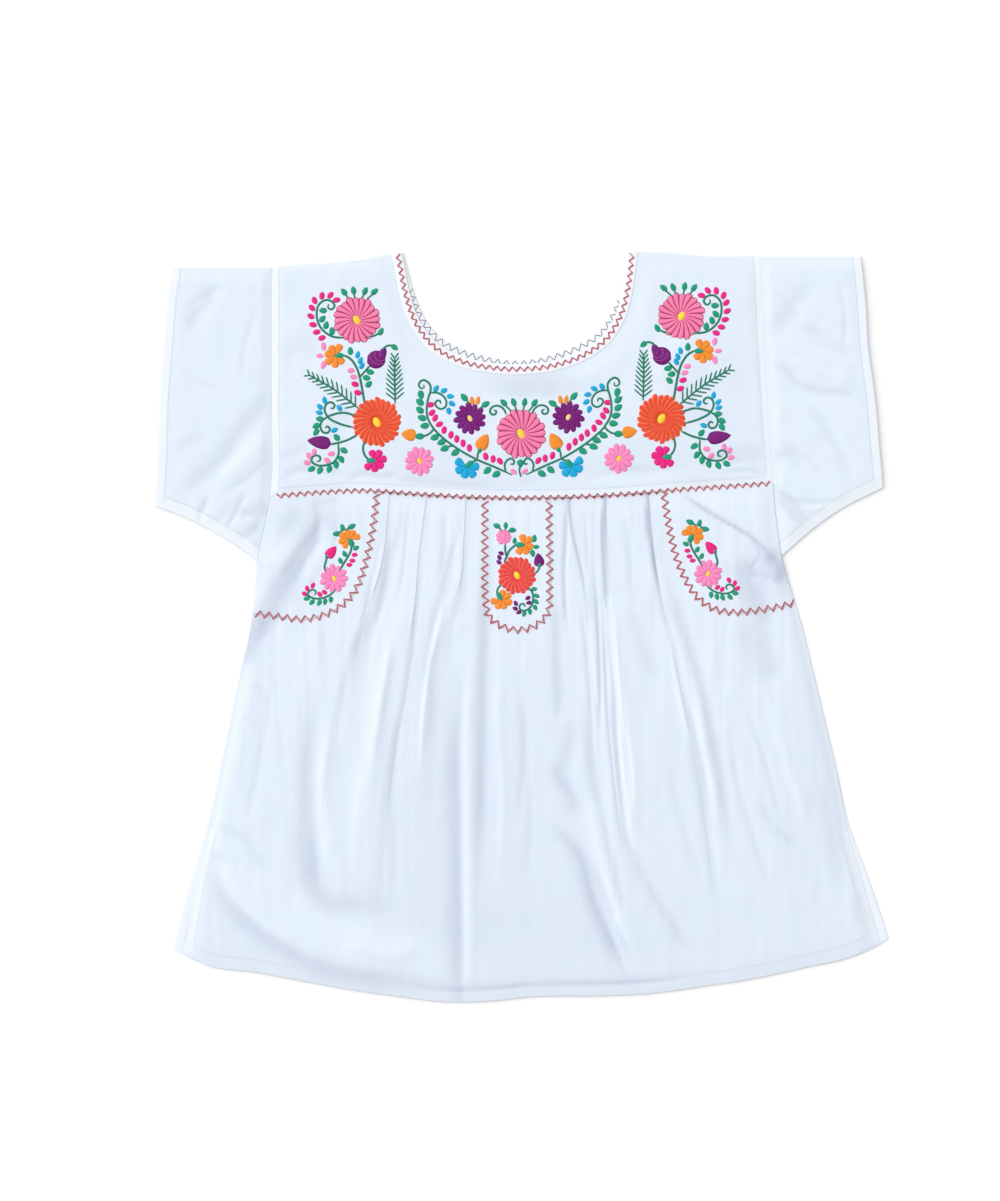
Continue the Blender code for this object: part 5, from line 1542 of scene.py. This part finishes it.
def start_group(name, inputs, outputs):
    """A shader group with named inputs (kind, value) and outputs (kind)."""
    tree = bpy.data.node_groups.new(name, "ShaderNodeTree")
    for label, (kind, value) in inputs.items():
        socket = tree.interface.new_socket(label, in_out="INPUT", socket_type="NodeSocket" + kind)
        if value is not None:
            socket.default_value = value
    for label, kind in outputs.items():
        tree.interface.new_socket(label, in_out="OUTPUT", socket_type="NodeSocket" + kind)
    nodes = Nodes(tree)
    return nodes, nodes.add("NodeGroupInput").outputs, nodes.add("NodeGroupOutput").inputs


def make_weave_group():
    """Plain weave: its relief, and the slubs and uneven thread that make cotton look alive."""
    threads = ("Float", COTTON_THREADS)
    nodes, given, out = start_group(
        "plain_weave",
        {"Place": ("Vector", None), "Threads per metre": threads, "Unevenness": ("Float", 1.0)},
        {"Relief": "Float", "Mottle": "Float"},
    )
    place = given["Place"]
    scale = nodes.maths("MULTIPLY", given["Threads per metre"], WAVES_A_THREAD)
    warp = nodes.wave(place, scale, "X", WEAVE_WOBBLE)
    weft = nodes.wave(place, scale, "Y", WEAVE_WOBBLE)
    weave = nodes.maths("MULTIPLY", warp, weft)
    lengthways = nodes.noise(nodes.stretch(place, (SLUB_ACROSS, SLUB_ALONG, SLUB_ALONG)), 1.0)
    crossways = nodes.noise(nodes.stretch(place, (SLUB_ALONG, SLUB_ACROSS, SLUB_ALONG)), 1.0)
    slubs = nodes.maths("ADD", lengthways, crossways)
    slubs = nodes.maths("MULTIPLY", nodes.maths("SUBTRACT", slubs, 1.0), given["Unevenness"])
    nodes.put(nodes.maths("ADD", weave, slubs), out["Relief"])
    soft = nodes.noise(place, *CLOUD)
    cloud = nodes.maths("MULTIPLY", nodes.maths("SUBTRACT", soft, 0.5), given["Unevenness"])
    nodes.put(nodes.maths("ADD", cloud, nodes.maths("MULTIPLY", slubs, SLUB_MOTTLE)), out["Mottle"])
    return nodes.tree


def make_satin_group():
    """Satin stitch: threads laid side by side along the piece's own UV, with a glint on each and shade
    painted between them.
    """
    threads = ("Float", SATIN_THREADS)
    nodes, given, out = start_group(
        "satin_stitch",
        {"Thread": ("Color", None), "Painted shade": ("Color", None), "Threads per metre": threads},
        {"Colour": "Color", "Relief": "Float", "Roughness": "Float"},
    )
    place = nodes.add("ShaderNodeUVMap", uv_map="thread").outputs[0]
    scale = nodes.maths("MULTIPLY", given["Threads per metre"], WAVES_A_THREAD)
    ridge = nodes.wave(place, scale, "Y", SATIN_WOBBLE)
    uneven = nodes.noise(nodes.stretch(place, SATIN_STRETCH), 1.0)
    # painted shade in the grooves between the threads, with random unevenness added
    shade = nodes.between(ridge, *BETWEEN_THREADS)
    shade = nodes.maths("ADD", shade, nodes.between(uneven, *UNEVEN_SHADE))
    nodes.put(nodes.blend(nodes.between(shade, 0.0, 1.0), given["Thread"], given["Painted shade"]), out["Colour"])
    nodes.put(nodes.maths("ADD", ridge, nodes.maths("MULTIPLY", uneven, UNEVEN_RELIEF)), out["Relief"])
    nodes.put(nodes.between(uneven, *SATIN_ROUGHNESS), out["Roughness"])
    return nodes.tree


def start_material(name, shown, surface):
    """A material with its constant values set, ready for the nodes of its own."""
    material = bpy.data.materials.new(name)
    material.use_nodes = True
    material.diffuse_color = shown
    shader = material.node_tree.nodes["Principled BSDF"]
    for socket, value in surface.items():
        shader.inputs[socket].default_value = value
    return material, Nodes(material.node_tree), shader


def raise_threads(nodes, relief, strength, shader):
    """The fine relief of threads, as a bump on the shader."""
    inputs = {"Height": relief, "Distance": THREAD_RELIEF, "Strength": strength}
    nodes.put(nodes.add("ShaderNodeBump", inputs).outputs[0], shader.inputs["Normal"])


def make_cotton(name, weave, single, unevenness):
    """Sheer cotton: whiter where it is doubled, with shade painted on the slopes of its folds and where
    its marks ask for it.
    """
    material, nodes, shader = start_material(name, single, COTTON_SURFACE)
    place = nodes.add("ShaderNodeTexCoord").outputs["Object"]
    look = nodes.add("ShaderNodeGroup", node_tree=weave)
    nodes.put(place, look.inputs["Place"])
    look.inputs["Threads per metre"].default_value = COTTON_THREADS
    look.inputs["Unevenness"].default_value = unevenness
    mottle = look.outputs["Mottle"]
    wobble = nodes.maths("ADD", nodes.mark("turned"), nodes.maths("MULTIPLY", mottle, STRIP_WOBBLE))
    inside = nodes.between(wobble, -STRIP_BLUR, STRIP_BLUR)
    near_edge = nodes.between(nodes.maths("ABSOLUTE", wobble), *STRIP_LINE)
    tint = nodes.blend(nodes.maths("MULTIPLY", inside, nodes.mark("whiter")), single, DOUBLED)
    # painted shade: steep slopes, the darker line at a doubled strip's edge, the shade mark and random
    # mottle blend the cotton towards the painted shade colour
    line = nodes.maths("MAXIMUM", nodes.between(nodes.mark("steep"), *SLOPE_SHADE), near_edge)
    shade = nodes.maths("MAXIMUM", nodes.mark("shade"), line)
    shade = nodes.maths("ADD", shade, nodes.maths("MULTIPLY", mottle, MOTTLE_SHADE))
    shade = nodes.maths("MINIMUM", nodes.maths("MAXIMUM", shade, 0.0), MOST_SHADE)
    tint = nodes.blend(nodes.maths("MULTIPLY", shade, PAINTED_SHADE_SHARE), tint, PAINTED_SHADE_COLOUR)
    cloudy = nodes.between(mottle, *CLOUDY)
    nodes.put(nodes.blend(cloudy, tint, DOUBLED), shader.inputs["Base Color"])
    nodes.put(nodes.between(mottle, *COTTON_ROUGHNESS), shader.inputs["Roughness"])
    raise_threads(nodes, look.outputs["Relief"], COTTON_BUMP, shader)
    return material


def make_thread(name, satin, light, painted_shade):
    material, nodes, shader = start_material(name + "_thread", light, SATIN_SURFACE)
    look = nodes.add("ShaderNodeGroup", node_tree=satin)
    look.inputs["Thread"].default_value = light
    look.inputs["Painted shade"].default_value = painted_shade
    nodes.put(look.outputs["Colour"], shader.inputs["Base Color"])
    nodes.put(look.outputs["Roughness"], shader.inputs["Roughness"])
    raise_threads(nodes, look.outputs["Relief"], SATIN_BUMP, shader)
    return material


def make_floor():
    """The pale table, wide enough for every view."""
    table = bmesh.new()
    bmesh.ops.create_grid(table, x_segments=FLOOR_FACES, y_segments=FLOOR_FACES, size=FLOOR_SIZE / 2)
    bmesh.ops.translate(table, verts=table.verts, vec=(0, 0, FLOOR_LEVEL))
    floor = piece_of("floor", table)
    material, nodes, shader = start_material("pale_table", FLOOR_WHITE, FLOOR_SURFACE)
    soft = nodes.noise(nodes.add("ShaderNodeTexCoord").outputs["Object"], FLOOR_CLOUD)
    tint = nodes.blend(nodes.between(soft, *FLOOR_CLOUDY), FLOOR_WHITE, FLOOR_SHADE)
    nodes.put(tint, shader.inputs["Base Color"])
    floor.data.materials.append(material)


def make_studio():
    scene = bpy.context.scene
    scene.view_settings.view_transform = "Standard"
    scene.view_settings.look = "None"
    world = bpy.data.worlds.new("soft_room")
    world.use_nodes = True
    sky = world.node_tree.nodes["Background"]
    sky.inputs["Color"].default_value = ROOM_COLOUR
    sky.inputs["Strength"].default_value = ROOM_LIGHT
    scene.world = world
    lamp = bpy.data.lights.new("window", "SUN")
    lamp.energy = WINDOW_LIGHT
    lamp.angle = math.radians(WINDOW_SOFTNESS)
    lamp.color = WINDOW_COLOUR
    window = bpy.data.objects.new("window", lamp)
    scene.collection.objects.link(window)
    window.rotation_mode = "QUATERNION"
    window.rotation_quaternion = Vector(WINDOW_FROM).to_track_quat("Z", "Y")
    camera_data = bpy.data.cameras.new("camera")
    camera_data.sensor_width = FILM_WIDTH
    camera_data.lens = FILM_WIDTH * CAMERA_HEIGHT / FRAME_TALL
    camera_data.clip_start, camera_data.clip_end = CAMERA_RANGE
    camera = bpy.data.objects.new("camera", camera_data)
    scene.collection.objects.link(camera)
    camera.location = (FRAME_MIDDLE[0], FRAME_MIDDLE[1], CAMERA_HEIGHT)
    scene.camera = camera


def start_needlework(tree):
    """An empty piece of needlework to be laid on the cloth that the tree holds."""
    mesh = bmesh.new()
    return {"mesh": mesh, "uv": mesh.loops.layers.uv.new("thread"), "tree": tree, "threads": []}


def stitch_patch(work, thread, along_faces, across_faces, shape, reach=0.0):
    """One patch of stitches: shape turns places on a grid, -1 to 1 both ways, into the cloth's."""
    if thread not in work["threads"]:
        work["threads"].append(thread)
    index = work["threads"].index(thread)
    made = bmesh.ops.create_grid(work["mesh"], x_segments=along_faces, y_segments=across_faces, size=1.0)
    verts = made["verts"]
    a = np.array([vert.co.x for vert in verts])
    b = np.array([vert.co.y for vert in verts])
    x, y, height, u, v = shape(a, b)
    places = {}
    last = 0.0
    for k, vert in enumerate(verts):
        ground = top_at(work["tree"], x[k], y[k], reach)
        last = last if ground is None else ground
        vert.co = ((x[k] - CENTRE_X) * MM, (y[k] - CENTRE_Y) * MM, (last + height[k]) * MM)
        places[vert] = (float(u[k]) * MM, float(v[k]) * MM)
    for face in {face for vert in verts for face in vert.link_faces}:
        face.smooth = True
        face.material_index = index
        for loop in face.loops:
            loop[work["uv"]].uv = places[loop.vert]


def finish_needlework(work, name, threads):
    piece = piece_of(name, work["mesh"])
    for thread in work["threads"]:
        piece.data.materials.append(threads[thread])
    wall = piece.modifiers.new("underside", "SOLIDIFY")
    wall.offset = -1.0
    wall.thickness = THREAD_WALL * MM
    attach(piece, "root")
    return piece


def dome(b, height):
    """Height across a patch, flat on top, which dips just under the cloth at its edge."""
    full, square, dip = DOME
    return height * np.sqrt(np.clip(full - np.abs(b) ** square, 0, None)) - dip


def swung(x, y, on, off, turn):
    """Places on and off along a direction through x, y."""
    return x + on * np.cos(turn) - off * np.sin(turn), y + on * np.sin(turn) + off * np.cos(turn)


def satin_leaf(work, thread, x, y, length, width, direction, shape="leaf", height=PATCH_HEIGHT):
    """Satin stitch across a leaf, bud or drop whose middle is at x, y."""
    lean, point = SHAPES[shape]
    turn = math.radians(direction)

    def place(a, b):
        t = (a + 1) / 2
        full = np.sin(np.pi * np.clip(t, 0.0, 1.0) ** lean).clip(0) ** point
        on = a * length / 2
        off = b * (width / 2 * (BLUNT + (1 - BLUNT) * full))
        up = dome(b, height) * (LEAF_END + (1 - LEAF_END) * np.sin(np.pi * t).clip(0) ** 0.5)
        px, py = swung(x, y, on, off, turn)
        return px, py, up, off, on - off * SATIN_SLANT

    stitch_patch(work, thread, *SATIN_FACES, place)


def petal(work, thread, x, y, inner, outer, direction, width, tip, swirl=0.0, height=PATCH_HEIGHT):
    """Satin stitch along one petal, from the flower's middle out to a rounded tip."""
    tip_share = tip * width / 2 / (outer - inner)

    def place(a, b):
        t = np.sin(np.pi / 4 * (a + 1))
        r = inner + (outer - inner) * t
        into_tip = np.clip((t - 1 + tip_share) / tip_share, 0, 1)
        half = width / 2 * r / outer * np.sqrt(1 - into_tip**2) + LEAST_PETAL
        turn = math.radians(direction) + math.radians(swirl) * (t - 1) * 2
        off = b * half
        up = dome(b, height) * (PETAL_END + (1 - PETAL_END) * np.cos(np.pi / 2 * into_tip).clip(0) ** 0.5)
        px, py = swung(x, y, r, off, turn)
        return px, py, up, r, off

    stitch_patch(work, thread, *SATIN_FACES, place)


def flower(work, kind, x, y, radius, turn, mirror=1):
    count, thread, line, middle, middle_size, tip, swirl, filled = FLOWER_KINDS[kind]
    width = 2 * math.pi * radius / count
    inner = radius * middle_size * CENTRE_OPENING
    swirl = swirl * mirror
    lined = (line, LINE_PAST, width * LINE_WIDER, LINE_HEIGHT)
    for shade, past, wide, height in (lined, (thread, 0.0, width * filled, PATCH_HEIGHT)):
        for k in range(count):
            outer = radius * (1 + UNEVEN_PETALS * math.sin(k * PETAL_TURN)) + past
            direction = turn + 360 / count * k
            petal(work, shade, x, y, inner, outer, direction, wide, tip, swirl, height)
    size = radius * middle_size
    long, wide, height = MIDDLE_SHAPE
    direction = MIDDLE_TURN[0] + MIDDLE_TURN[1] * mirror
    satin_leaf(work, middle, x, y, size * long, size * wide, direction, "oval", height)


def cupped_flower(work, thread, x, y, radius, count, first, last, cup):
    """A flower seen from the side of its cup: petals fan out part of the way round."""
    step = (last - first) / (count - 1)
    width = radius * abs(math.radians(step)) * CUP_OVERLAP
    for k in range(count):
        long = radius * (1 - CUP_UNEVEN * math.sin(k * CUP_TURN) ** 2)
        petal(work, thread, x, y, CUP_INNER, long, first + step * k, width, CUP_TIP)
    at_x = x - CUP_BACK * math.cos(math.radians(cup))
    at_y = y - CUP_BACK * math.sin(math.radians(cup))
    satin_leaf(work, "green", at_x, at_y, *CUP_SHAPE, cup, "leaf", CUP_HEIGHT)


def stem(work, thread, width, path, height=STEM_HEIGHT):
    """Stem stitch: a round line of thread along a path."""
    path = np.array(path, float)
    length = line_length(path)

    def place(a, b):
        share = (a + 1) / 2
        here = along(path, share)
        way = ways_along(path, share, CURL_STEP)
        off = b * (width / 2 * np.clip(STEM_END + STEM_TAPER * np.minimum(share, 1 - share), 0, 1))
        px = here[:, 0] - way[:, 1] * off
        py = here[:, 1] + way[:, 0] * off
        return px, py, dome(b, height), off * STEM_TWIST[0], share * length + off * STEM_TWIST[1]

    faces = max(LEAST_STEM_FACES, int(length / STEM_FACE))
    stitch_patch(work, thread, faces, STEM_ACROSS, place)


def off_stems(x, y, lines):
    """Direction of a leaf that stands off the nearest stem and leans towards its tip."""
    best = None
    for line in lines:
        away = np.array([x, y]) - line
        distance = np.hypot(away[:, 0], away[:, 1])
        k = int(distance.argmin())
        if best is None or distance[k] < best[0]:
            ahead = line[min(k + LEAN_READ, len(line) - 1)] - line[max(k - LEAN_READ, 0)]
            ahead /= max(np.hypot(*ahead), LEAST_LENGTH)
            best = (distance[k], away[k] / max(distance[k], LEAST_LENGTH) + LEAF_LEAN * ahead)
    return math.degrees(math.atan2(best[1][1], best[1][0]))


def spray(work, drawn, move, turn):
    """One spray of embroidery. move sets a place, and turn a direction, as drawn or mirrored."""
    stems, leaves, buds, flowers, cupped, crowns = drawn
    lines = [along(np.array(path, float), np.linspace(0, 1, STEM_POINTS)) for _, path in stems]
    for width, path in stems:
        stem(work, "stem_green", width, [move(x, y) for x, y in path])
    for thread, length, width, places in leaves:
        shape = "oval" if thread in OVAL_THREADS else "leaf"
        for x, y in places:
            direction = turn(off_stems(x, y, lines))
            satin_leaf(work, thread, *move(x, y), length, width, direction, shape)
    for x, y, tips in crowns:
        for tip_x, tip_y in tips:
            direction = math.degrees(math.atan2(tip_y - y, tip_x - x))
            lean = direction + (direction - 90) * CROWN_LEAN
            root = (x + (tip_x - x) * CROWN_ROOT[0], y + (tip_y - y) * CROWN_ROOT[1])
            stem(work, "stem_green", CROWN_STALK, [move(*root), move(tip_x, tip_y - 1.0)])
            satin_leaf(work, "green", *move(tip_x, tip_y), *CROWN_BUD, turn(lean))
    mirror = 1 if turn is same else -1
    for kind, x, y, radius, start in flowers:
        flower(work, kind, *move(x, y), radius, turn(start), mirror)
    for thread, x, y, radius, count, first, last, cup in cupped:
        cupped_flower(work, thread, *move(x, y), radius, count, turn(first), turn(last), turn(cup))
    for shape, thread, x, y, length, width, direction in buds:
        satin_leaf(work, thread, *move(x, y), length, width, turn(direction), shape)


def fern(work, longest, pairs, path, move):
    """A fern: a spine with barbs that point towards its tip."""
    path = np.array([move(x, y) for x, y in path], float)
    stem(work, "stem_green", FERN_SPINE, path[::-1])
    least, more, growth = FERN_LENGTHS
    spread, wider = FERN_ANGLES
    width, height = FERN_BARB
    for k in range(pairs):
        share = FERN_START + FERN_SHARE * k / (pairs - 1)
        here = along(path, np.array([share]))[0]
        ahead = along(path, np.array([max(share - FERN_STEP, 0)]))[0]
        ahead = ahead - along(path, np.array([share + FERN_STEP]))[0]
        heading = math.degrees(math.atan2(ahead[1], ahead[0]))
        long = longest * (least + more * ease(share * growth))
        for side in (-1, 1):
            turn = math.radians(heading + side * (spread + wider * share))
            x = here[0] + math.cos(turn) * long / 2
            y = here[1] + math.sin(turn) * long / 2
            straight_stitch(work, "stem_green", x, y, long, width, turn, height, 0.0)


def rose(work, x, y, move, turn):
    """The round purple bud, its one raised petal and the lighter lines where petals overlap."""
    for part, shape in ((ROSE_BUD, "oval"), (ROSE_PETAL, "leaf")):
        off_x, off_y, length, width, direction, height = part
        at = move(x + off_x, y + off_y)
        satin_leaf(work, "purple", *at, length, width, turn(direction), shape, height)
    width, height = ROSE_LINE
    for line in ROSE_LINES:
        stem(work, "purple_line", width, [move(x + dx, y + dy) for dx, dy in line], height)


def as_drawn(x, y):
    return x, y


def same(direction):
    return direction


def mirrored_about(middle):
    def move(x, y):
        return 2 * middle - x, y + TILT * 2 * (middle - x)

    return move


def mirrored(direction):
    return 180 - direction


def both_sides(middle):
    """How places and directions are moved for the left side and for its mirror image."""
    return {"left": (as_drawn, same), "right": (mirrored_about(middle), mirrored)}


def zigzag(work, thread, path, pitch, swing, width):
    """Zigzag stitch along a path: one leg of thread after the other."""
    length = line_length(path)
    count = max(2, int(round(length / pitch)) * 2)
    share = np.linspace(0, 1, count + 1)
    way = ways_along(path, share, SHORT_STEP)
    side = np.where(np.arange(count + 1) % 2 == 0, 1.0, -1.0) * swing / 2
    corners = along(path, share) + np.stack([-way[:, 1], way[:, 0]], axis=-1) * side[:, None]
    for first, last in zip(corners[:-1], corners[1:]):
        x, y = (first + last) / 2
        step = last - first
        long = float(np.hypot(*step)) + width * ZIGZAG_OVERLAP
        straight_stitch(work, thread, x, y, long, width, math.atan2(step[1], step[0]))


def straight_stitch(
    work, thread, x, y, length, width, turn, height=PATCH_HEIGHT, reach=STITCH_REACH
):
    """One stitch of thread, with rounded ends."""

    def place(a, b):
        at_end = np.abs(a) > STITCH_END
        on = a * length / 2
        off = b * (width / 2 * np.where(at_end, STITCH_END_WIDTH, 1.0))
        up = dome(b, height) * np.where(at_end, STITCH_END_HEIGHT, 1.0)
        px, py = swung(x, y, on, off, turn)
        return px, py, up, on, off

    stitch_patch(work, thread, *STRAIGHT_FACES, place, reach)


def running_stitch(work, thread, path):
    """A row of small straight stitches."""
    count = int(line_length(path) / RUNNING_PITCH)
    share = (np.arange(count) + 0.5) / count
    size = (RUNNING_LONG, RUNNING_WIDTH)
    for (x, y), (way_x, way_y) in zip(along(path, share), ways_along(path, share, STITCH_STEP)):
        straight_stitch(work, thread, x, y, *size, math.atan2(way_y, way_x), RUNNING_HEIGHT, 0.0)


def embroider(threads, tree):
    for side, way in both_sides(MIDDLE_X).items():
        work = start_needlework(tree)
        spray(work, SHOULDER_SPRAY, *way)
        for longest, pairs, path in SPRAY_FERNS:
            fern(work, longest, pairs, path, way[0])
        rose(work, *SPRAY_ROSE, *way)
        finish_needlework(work, "yoke_spray_" + side, threads)
    work = start_needlework(tree)
    for way in both_sides(MIDDLE_X).values():
        spray(work, GARLAND, *way)
    spray(work, GARLAND_MIDDLE, as_drawn, same)
    finish_needlework(work, "yoke_garland", threads)
    for side, way in both_sides(PANEL_MIDDLE_X).items():
        work = start_needlework(tree)
        spray(work, PANEL_SPRAY, *way)
        finish_needlework(work, "side_panel_spray_" + side, threads)
    work = start_needlework(tree)
    spray(work, TAB_SPRAY, as_drawn, same)
    finish_needlework(work, "centre_tab_spray", threads)


def sew_zigzags(threads, tree, back_tree):
    share = np.linspace(*SEWN_SHARE, SEAM_POINTS)
    seam_x = np.linspace(*YOKE_SEAM_SEWN, SEAM_POINTS)
    yoke_seam = np.stack([seam_x, height_along(YOKE_SEAM, seam_x)], axis=-1)
    rows = (
        ("zigzag_yoke_seam", yoke_seam, SEAM_ZIGZAG),
        ("zigzag_neck_front", neck_line(share, NECK_ZIGZAG_INWARD), NECK_ZIGZAG),
        ("zigzag_side_panel_left", along(LEFT_PANEL_EDGE, share), PANEL_ZIGZAG),
        ("zigzag_side_panel_right", along(RIGHT_PANEL_EDGE, share), PANEL_ZIGZAG),
        ("zigzag_centre_tab", along(TAB_EDGE, share), PANEL_ZIGZAG),
    )
    for name, path, size in rows:
        work = start_needlework(tree)
        # the paler zigzag is a painted shadow, set off beside the brick one
        zigzag(work, "zigzag_shadow_rose", path + np.array(ZIGZAG_SHADOW), *size, ZIGZAG_SHADOW_WIDTH)
        zigzag(work, "brick", path, *size, ZIGZAG_WIDTH)
        finish_needlework(work, name, threads)
    share = np.linspace(*BACK_NECK_SHARE, SEAM_POINTS)
    path = neck_line(share, back_neck_rise(share) + BACK_NECK_ZIGZAG_INWARD)
    work = start_needlework(back_tree)
    zigzag(work, "mole", path, *BACK_NECK_ZIGZAG, BACK_NECK_THREAD)
    finish_needlework(work, "zigzag_neck_back", threads)


def sew_hems(threads, tree):
    work = start_needlework(tree)
    hem_x = np.linspace(*HEM_SEWN, HEM_POINTS)
    hem_y = height_along(FRONT_HEM, hem_x) + HEM_STITCH_RISE
    running_stitch(work, "white", np.stack([hem_x, hem_y], axis=-1))
    for seam_column, inward in ((LEFT_FRONT, 1), (RIGHT_FRONT, -1)):
        slit_y = np.linspace(*SLIT_SEWN, SLIT_POINTS)
        slit_x = edge_at(SIDES, slit_y, seam_column) + inward * (SLIT_HEM_WIDTH - HEM_STITCH_INSIDE)
        running_stitch(work, "white", np.stack([slit_x, slit_y], axis=-1))
    finish_needlework(work, "hem_stitches", threads)
    for side, (cuff, inward, low, high) in CUFF_STITCHES.items():
        work = start_needlework(tree)
        cuff_y = np.linspace(low, high, CUFF_POINTS)
        cuff_x = edge_at(cuff, cuff_y) + inward * (CUFF_HEM_WIDTH - HEM_STITCH_INSIDE)
        running_stitch(work, "white", np.stack([cuff_x, cuff_y], axis=-1))
        finish_needlework(work, "cuff_stitches_" + side, threads)


def main():
    make_studio()
    make_floor()
    weave = make_weave_group()
    satin = make_satin_group()
    cotton = make_cotton("cotton", weave, COTTON, 1.0)
    doubled = make_cotton("doubled_cotton", weave, DOUBLED, DOUBLED_UNEVENNESS)
    threads = {}
    for name, (light, painted_shade) in THREADS.items():
        threads[name] = make_thread(name, satin, colour(*light), colour(*painted_shade))
    front = make_front_body(cotton)
    yoke = make_yokes(cotton)
    front_band, back_band = make_neck_bands(doubled)
    left = make_sleeve("left", cotton)
    right = make_sleeve("right", cotton)
    make_back_body(cotton)
    tree = tree_of(front)
    panels = [
        make_side_panel("side_panel_left", LEFT_PANEL_EDGE, LEFT_FRONT, -1, cotton, tree),
        make_side_panel("side_panel_right", RIGHT_PANEL_EDGE, RIGHT_FRONT, 1, cotton, tree),
        make_centre_tab(cotton, tree),
    ]
    upper = tree_of(front, yoke, front_band, left, right, *panels)
    embroider(threads, upper)
    sew_zigzags(threads, upper, tree_of(back_band))
    sew_hems(threads, upper)


main()
